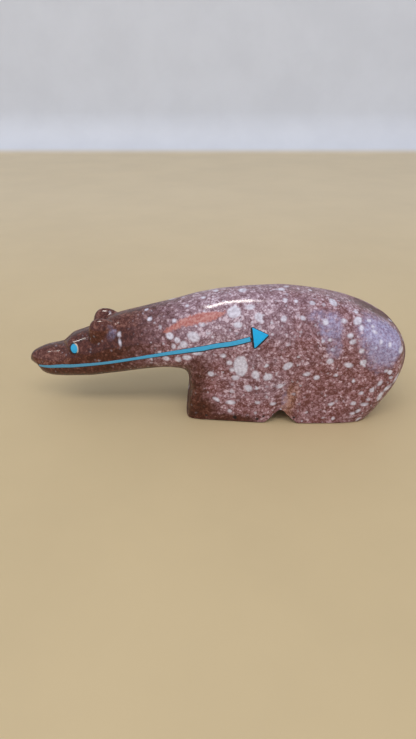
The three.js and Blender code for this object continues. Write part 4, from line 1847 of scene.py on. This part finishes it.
@dataclass
class StoneBear:
    """The carved stone: its form, its seats for the inlays and its finish."""

    loft: Loft  # skin before its ears and cuts
    ground: Ground = field(default_factory=Ground)  # what the feet are cut by
    ear: Ear = field(default_factory=Ear)
    stations: int = 430  # how many sections the mesh has
    around: int = 222  # how many vertices each section has
    fine_stations: int = 6000  # how many places the spacing of the sections is worked out from
    fine_around: int = 1800  # how many points a section has before they are spaced evenly
    # Where along the bear the sections lie closer: a place in percent, a spread in millimetres, and how much closer
    focus: tuple[tuple[float, float, float], ...] = ((-30.0, 4.5, 1.6), (12.7, 0.8, 1.0), (20.6, 0.8, 1.0))
    side_step: float = 0.6  # how much a step to the side counts beside one along the back or the belly
    sole: float = 0.6  # how close a section's points lie on the sole, where 1 is the common spacing
    foot: float = 1.2  # how much closer than that they lie just above the ground
    foot_reach: float = 0.8  # how far up from the ground they lie closer
    rounding_passes: int = 5  # how often the edges of the feet are rubbed
    rounding_reach: float = 0.3  # how far up from the ground they are rubbed
    rounding_share: float = 0.5  # share of the way to its neighbours' mean that a point there is drawn
    relief_full: float = 0.8  # height from which the reliefs are full, where they are nothing on the ground
    merge: float = 0.004  # distance under which the cut's vertices become one
    crease: float = 50.0  # angle between two faces from which their edge looks sharp, in degrees

    def places(self) -> Array:
        """Where the mesh's sections lie along the loft.

        The distance between two sections is the longest of their steps along the back, along the
        belly and to the side, and it counts more near the places of focus.

        Returns:
            The sections' t, from the nose to the tail.
        """
        t = np.linspace(0, self.loft.last, self.fine_stations)
        cut = self.loft.cut(t)
        back, belly = (np.hypot(*np.diff(line, axis=0).T) for line in (cut.back, cut.belly))
        step = np.maximum(back, belly) + self.side_step * np.abs(np.diff(cut.half))
        x = cut.back[1:, 0]
        for place, spread, closer in self.focus:
            step = step * (1 + closer * np.exp(-(((x - place * self.loft.view.length / 100) / spread) ** 2)))
        travelled = np.concatenate([[0], np.cumsum(step)])
        return np.interp(np.linspace(0, travelled[-1], self.stations + 2), travelled, t)[1:-1]

    def rings(self) -> tuple[Array, Array]:
        """The sections with the ears on them and the feet cut, as evenly spaced points.

        Returns:
            The points, one ring a section, and the sections' hearts.
        """
        t = self.places()[:, None]
        cut = self.loft.cut(t[:, 0])
        heart = cut.heart()[:, None, :]
        angle = full_turn(self.fine_around)[None, :]
        points = self.loft.skin(t, angle)
        for side in Side:
            points = self.ear.swell(points, heart, side, self.loft.view)
        points = self.ground.trim(points, cut, self.loft.view)
        return self._spaced(points), heart

    def _spaced(self, points: Array) -> Array:
        """The same rings with their points spread out again: closer near the ground, wider on the sole.

        Args:
            points: The rings.

        Returns:
            Rings of the mesh's own number of points.
        """
        closed = np.concatenate([points, points[:, :1]], axis=1)
        step = np.linalg.norm(np.diff(closed, axis=1), axis=-1)
        level = self.ground.level(points[..., 0], self.loft.view)
        above = points[..., 2] - level
        closer = 1 + self.foot * np.exp(-((above / self.foot_reach) ** 2))
        weight = np.where(above < 1e-6, self.sole, closer)
        travelled = np.concatenate([np.zeros((len(points), 1)), np.cumsum(step * weight, axis=1)], axis=1)
        total = travelled[:, -1:]
        start = np.arange(len(points))[:, None] * (2 * total.max())
        wanted = np.linspace(0, 1, self.around, endpoint=False)[None, :] * total + start
        known = (travelled + start).ravel()
        spread = [np.interp(wanted.ravel(), known, closed[..., k].ravel()) for k in range(3)]
        return np.stack(spread, axis=-1).reshape(len(points), self.around, 3)

    def _rubbed(self, rings: Array) -> Array:
        """The rings with the edges of the feet rounded, each point drawn to the mean of its neighbours.

        Args:
            rings: The rings.

        Returns:
            The rings, rubbed.
        """
        for _ in range(self.rounding_passes):
            level = self.ground.level(rings[..., 0], self.loft.view)
            near = self.rounding_share * np.exp(-(((rings[..., 2] - level) / self.rounding_reach) ** 2))
            near[0] = near[-1] = 0.0
            fore, aft = np.roll(rings, 1, axis=0), np.roll(rings, -1, axis=0)
            mean = (np.roll(rings, 1, axis=1) + np.roll(rings, -1, axis=1) + fore + aft) / 4
            rings = rings + near[..., None] * (mean - rings)
        return rings

    @staticmethod
    def _normals(rings: Array, heart: Array) -> Array:
        """The outward unit normals of a grid of rings, from its two directions.

        Args:
            rings: The rings.
            heart: The middle of each.

        Returns:
            One normal a point.
        """
        across = np.roll(rings, -1, axis=1) - np.roll(rings, 1, axis=1)
        along = np.gradient(rings, axis=0)
        normals = np.cross(across, along)
        normals /= np.maximum(np.linalg.norm(normals, axis=-1, keepdims=True), 1e-9)
        inward = (normals * (rings - heart)).sum() < 0
        return -normals if inward else normals

    def relief(self, points: Array, normals: Array) -> Array:
        """Points of the skin moved along their normals by every relief, less so near the ground."""
        height = sum(relief.height(points, self.loft.view) for relief in RELIEFS)
        return points + normals * (height * smooth_step(0.0, self.relief_full, points[..., 2]))[..., None]

    def side_skin(self, side: Side) -> Skin:
        """The finished skin of one side.

        Args:
            side: The side.

        Returns:
            A function that gives points and normals at rows of x and z.
        """
        def skin(places: Array) -> tuple[Array, Array]:
            """Points of the finished skin, with the normals there."""
            points, normals = self.loft.side_skin(places, side)
            return self.relief(points, normals), normals

        return skin

    def form(self) -> Piece:
        """The stone without its seats, standing flat on the ground.

        Returns:
            The piece.
        """
        rings, heart = self.rings()
        rings = self._rubbed(rings)
        rings = self.relief(rings, self._normals(rings, heart))
        rings[..., 2] = np.maximum(rings[..., 2], 0.0)
        ends = self.loft.skin(np.array([0.0, self.loft.last]), np.zeros(2))
        first, last = (np.broadcast_to(end, (1, self.around, 3)) for end in ends)
        points, faces, _ = closed_rings(np.concatenate([first, rings, last]))
        return make_object(BODY_NODE + "_polished", points, faces)

    def sink_seats(self, stone: Piece, inlays: Sequence[tuple[Inlay, Side]]) -> None:
        """Cuts the seats of all the inlays into the stone in one go.

        Args:
            stone: The stone.
            inlays: The inlays and their sides.
        """
        points, faces = np.empty((0, 3)), []
        for inlay, side in inlays:
            made, more, _ = closed_rings(inlay.seat(self.side_skin(side)))
            faces += [[corner + len(points) for corner in face] for face in more]
            points = np.vstack([points, made])
        cutter = make_object("seat_cutter", points, faces)
        boolean = stone.modifiers.new("seats", "BOOLEAN")
        boolean.operation, boolean.solver, boolean.object = "DIFFERENCE", "MANIFOLD", cutter
        cut = bpy.data.meshes.new_from_object(stone.evaluated_get(bpy.context.evaluated_depsgraph_get()))
        stone.modifiers.clear()
        self._clean(cut)
        whole, stone.data = stone.data, cut
        cut.name = stone.name
        bpy.data.meshes.remove(whole)
        bpy.data.objects.remove(cutter)

    def _clean(self, mesh: Mesh) -> None:
        """Merges vertices that the cut left very close together, and takes out slivers that lie back to back.

        Args:
            mesh: The mesh that was cut.
        """
        loose = bmesh.new()
        loose.from_mesh(mesh)
        bmesh.ops.remove_doubles(loose, verts=loose.verts, dist=self.merge * MM)
        bmesh.ops.dissolve_degenerate(loose, edges=loose.edges, dist=self.merge * MM)
        bmesh.ops.triangulate(loose, faces=loose.faces)
        doubled: set[bmesh.types.BMFace] = set()
        for edge in loose.edges:
            if len(edge.link_faces) > 2:
                corners = [frozenset(face.verts) for face in edge.link_faces]
                doubled |= {face for face in edge.link_faces if corners.count(frozenset(face.verts)) > 1}
        bmesh.ops.delete(loose, geom=list(doubled), context="FACES")
        loose.to_mesh(mesh)
        loose.free()

    def dress(self, stone: Piece, effects: Effects) -> None:
        """Paints the stone's marks, gives it its material and puts it in its node's place.

        Args:
            stone: The cut stone.
            effects: The shared node groups.
        """
        mesh = stone.data
        for mark, values in StonePainting(self.loft).values(vertex_places(mesh)).items():
            paint(mesh, mark.value, values)
        mesh.materials.clear()
        mesh.materials.append(StoneFinish().material(effects))
        mesh.polygons.foreach_set("use_smooth", np.ones(len(mesh.polygons), bool))
        mesh.set_sharp_from_angle(angle=math.radians(self.crease))
        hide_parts(BODY_NODE)
        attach(stone, BODY)


@dataclass
class InlayWork:
    """Makes, dresses and places the inlays of both sides."""

    bear: StoneBear
    effects: Effects
    crease: float = 60.0  # angle between two faces from which their edge looks sharp, in degrees

    def designs(self, side: Side) -> dict[str, Inlay]:
        """The three inlays of a side, by the names of their nodes."""
        view = self.bear.loft.view
        start = 100 + 10 * side.value
        return {
            f"heartline_{side.word}": Heartline(view, seed=start),
            f"arrowhead_{side.word}": Arrowhead(view, seed=start + 3),
            f"eye_{side.word}": Eye(view, seed=start + 6),
        }

    def make(self, name: str, inlay: Inlay, side: Side, finish: Material) -> Piece:
        """One inlay with its glue.

        Args:
            name: The node that it replaces.
            inlay: Its design.
            side: Its side.
            finish: Its material.

        Returns:
            The piece.
        """
        rings, rim = inlay.plate(self.bear.side_skin(side))
        chalk = np.broadcast_to(inlay.chalk_profile(), rim.shape)
        points, faces, used = closed_rings(rings)
        piece = make_object(f"{name}_plate", points, faces)
        paint(piece.data, RIM, rim.ravel()[used])
        paint(piece.data, CHALK, chalk.ravel()[used])
        piece.data.materials.append(finish)
        piece.data.set_sharp_from_angle(angle=math.radians(self.crease))
        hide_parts(name)
        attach(piece, BODY)
        return piece


@dataclass(frozen=True)
class PhotoView:
    """The camera, where the photograph was taken from."""

    height: int = 739  # height of the photograph in pixels
    focal: float = 555.0  # focal length in pixels
    pitch: float = 28.0  # how far the camera looks down, in degrees
    distance: float = 135.8  # how far it is from the point it aims at
    aim: Place = (-1.94, 9.33)  # that point's x and z on the middle plane of the bear

    def place(self) -> Piece:
        """Puts the camera into the scene and makes it the scene's own.

        Returns:
            The camera.
        """
        lens = bpy.data.cameras.new("photo_view")
        lens.sensor_fit = "VERTICAL"
        lens.lens = self.focal / self.height * lens.sensor_height
        lens.clip_start = 1 * MM
        camera = bpy.data.objects.new("photo_view", lens)
        pitch = math.radians(self.pitch)
        x, z = self.aim
        back = self.distance * math.cos(pitch), self.distance * math.sin(pitch)
        camera.location = Vector((x, -back[0], z + back[1])) * MM
        camera.rotation_euler = (math.pi / 2 - pitch, 0.0, 0.0)
        bpy.context.scene.collection.objects.link(camera)
        bpy.context.scene.camera = camera
        return camera


@dataclass(frozen=True)
class Softbox:
    """A rectangular studio light."""

    name: str
    place: tuple[float, float, float]  # where it hangs, in metres
    target: tuple[float, float, float]  # point it faces, in metres
    long: float  # its side that lies as far as it can along X, in metres
    wide: float
    power: float  # its power in watts
    colour: Colour = (255, 250, 242)  # its colour as it looks on a screen
    lit: bool = True  # whether it lights things up
    mirrored: bool = True  # whether its reflection shows on polished surfaces

    def hang(self) -> Piece:
        """Puts the light into the scene.

        Returns:
            The light.
        """
        light = bpy.data.lights.new(self.name, "AREA")
        light.shape, light.size, light.size_y = "RECTANGLE", self.long, self.wide
        light.energy, light.color = self.power, linear(self.colour)[:3]
        lamp = bpy.data.objects.new(self.name, light)
        back = (Vector(self.place) - Vector(self.target)).normalized()
        along = (Vector((1.0, 0.0, 0.0)) - back * back.x).normalized()
        turn = Matrix((along, back.cross(along), back)).transposed()
        lamp.matrix_world = Matrix.LocRotScale(Vector(self.place), turn, None)
        lamp.visible_diffuse, lamp.visible_glossy = self.lit, self.mirrored
        bpy.context.scene.collection.objects.link(lamp)
        return lamp


@dataclass(frozen=True)
class Studio:
    """A pale sweep of floor that rises into a wall, and soft light from above."""

    half_width: float = 2.2  # half the sweep's width, in metres
    front: float = -1.6  # where the floor starts and where the wall stands, in metres
    rear: float = 0.52
    bend: float = 0.04  # radius of the bend between them
    wall: float = 1.6
    seam: float = 0.006  # height up to which the bend has the floor's colour
    near_colour: Colour = (199, 180, 137)  # its colours, from the front to the wall: painted light, the floor paler and greyer towards the wall
    far_lit_colour: Colour = (209, 194, 160)
    near: float = -0.04  # where along Y the floor has the first two, in metres
    far: float = 0.3
    wall_colour: Colour = (214, 220, 226)
    mottle: float = 0.05  # how much darker it is in its blotches
    dull: float = 0.6
    lights: tuple[Softbox, ...] = (
        Softbox("key", (-0.12, -0.68, 1.03), (-0.02, 0.0, 0.01), 1.5, 0.3, 7.7, (248, 242, 246), mirrored=False),
        Softbox("strip", (-0.175, -0.05, 1.0), (0.0, 0.0, 0.02), 0.28, 0.19, 3.9, lit=False),
        Softbox("glint", (-0.712, 0.01, 0.879), (-0.03, 0.0, 0.02), 0.1, 0.09, 0.48, (255, 250, 244), lit=False),
        Softbox("window", (1.15, -0.85, 0.45), (0.03, 0.0, 0.015), 1.2, 1.0, 8.0, (196, 212, 255), lit=False),
    )
    sky: Colour = (228, 228, 238)  # colour and strength of the light from all around
    sky_strength: float = 0.89

    def sweep(self, steps: int = 24) -> Piece:
        """The floor, the bend and the wall as one profile carried along X, with a pale finish and painted light that
        makes the floor paler towards the wall.

        Args:
            steps: How many points the bend has.

        Returns:
            The sweep.
        """
        turn = np.linspace(0, math.pi / 2, steps)
        bend_y = self.rear - self.bend + self.bend * np.sin(turn)
        bend_z = self.bend - self.bend * np.cos(turn)
        profile_y = np.concatenate([[self.front], bend_y, [self.rear]])
        profile_z = np.concatenate([[0.0], bend_z, [self.wall]])
        left, right = (np.stack([np.full(len(profile_y), x), profile_y, profile_z], axis=1) / MM
                       for x in (-self.half_width, self.half_width))
        count = len(profile_y)
        faces = [[k, count + k, count + k + 1, k + 1] for k in range(count - 1)]
        floor = make_object("studio_sweep", np.vstack([left, right]), faces)
        floor.data.materials.append(self.material())
        return floor

    def material(self) -> Material:
        """The sweep's finish, warm on the floor and neutral on the wall, with painted light that makes the floor paler
        and greyer towards the wall.

        Returns:
            The material.
        """
        coat = Coat("studio_sweep")
        place = coat.node("ShaderNodeSeparateXYZ", {0: coat.mm}).outputs
        # painted light: the floor turns paler and greyer towards the wall
        back = coat.ramp(place[1], self.near / MM, self.far / MM)
        colour = coat.mix(back, linear(self.near_colour), linear(self.far_lit_colour))
        colour = coat.mix(coat.ramp(place[2], 0.0, self.seam / MM), colour, linear(self.wall_colour))
        mottle = coat.ramp(coat.grain(0.02, 4.0, 0.6), 0.3, 0.7)
        coat.feed(coat.shader.inputs["Base Color"], coat.cover(colour, linear((0, 0, 0)), mottle, self.mottle))
        coat.shader.inputs["Roughness"].default_value = self.dull
        return coat.material

    def build(self) -> None:
        """Puts up the sweep, the lights and the light from all around."""
        self.sweep()
        for light in self.lights:
            light.hang()
        world = bpy.data.worlds.new("studio")
        world.use_nodes = True
        background = world.node_tree.nodes["Background"]
        background.inputs["Color"].default_value = linear(self.sky)
        background.inputs["Strength"].default_value = self.sky_strength
        bpy.context.scene.world = world
        bpy.context.scene.view_settings.view_transform = "Standard"


def main() -> None:
    """Builds the stone, its inlays, the camera and the studio, in that order."""
    logging.basicConfig(level=logging.INFO, format="%(name)s: %(message)s")
    loft = Loft(SideView.of_node(BODY_NODE))
    effects = Effects()
    bear = StoneBear(loft)
    work = InlayWork(bear, effects)
    designs = {side: work.designs(side) for side in Side}
    stone = bear.form()
    bear.sink_seats(stone, [(inlay, side) for side, found in designs.items() for inlay in found.values()])
    bear.dress(stone, effects)
    log.info("%s: %d faces", stone.name, len(stone.data.polygons))
    finish = TurquoiseFinish()
    bright = finish.material(effects, loft.view, "turquoise_bright", finish.bright)
    line = finish.material(effects, loft.view, "turquoise_line", finish.line)
    for side, found in designs.items():
        for name, inlay in found.items():
            piece = work.make(name, inlay, side, line if isinstance(inlay, Heartline) else bright)
            log.info("%s: %d faces", piece.name, len(piece.data.polygons))
    PhotoView().place()
    Studio().build()


if __name__ == "__main__":
    main()
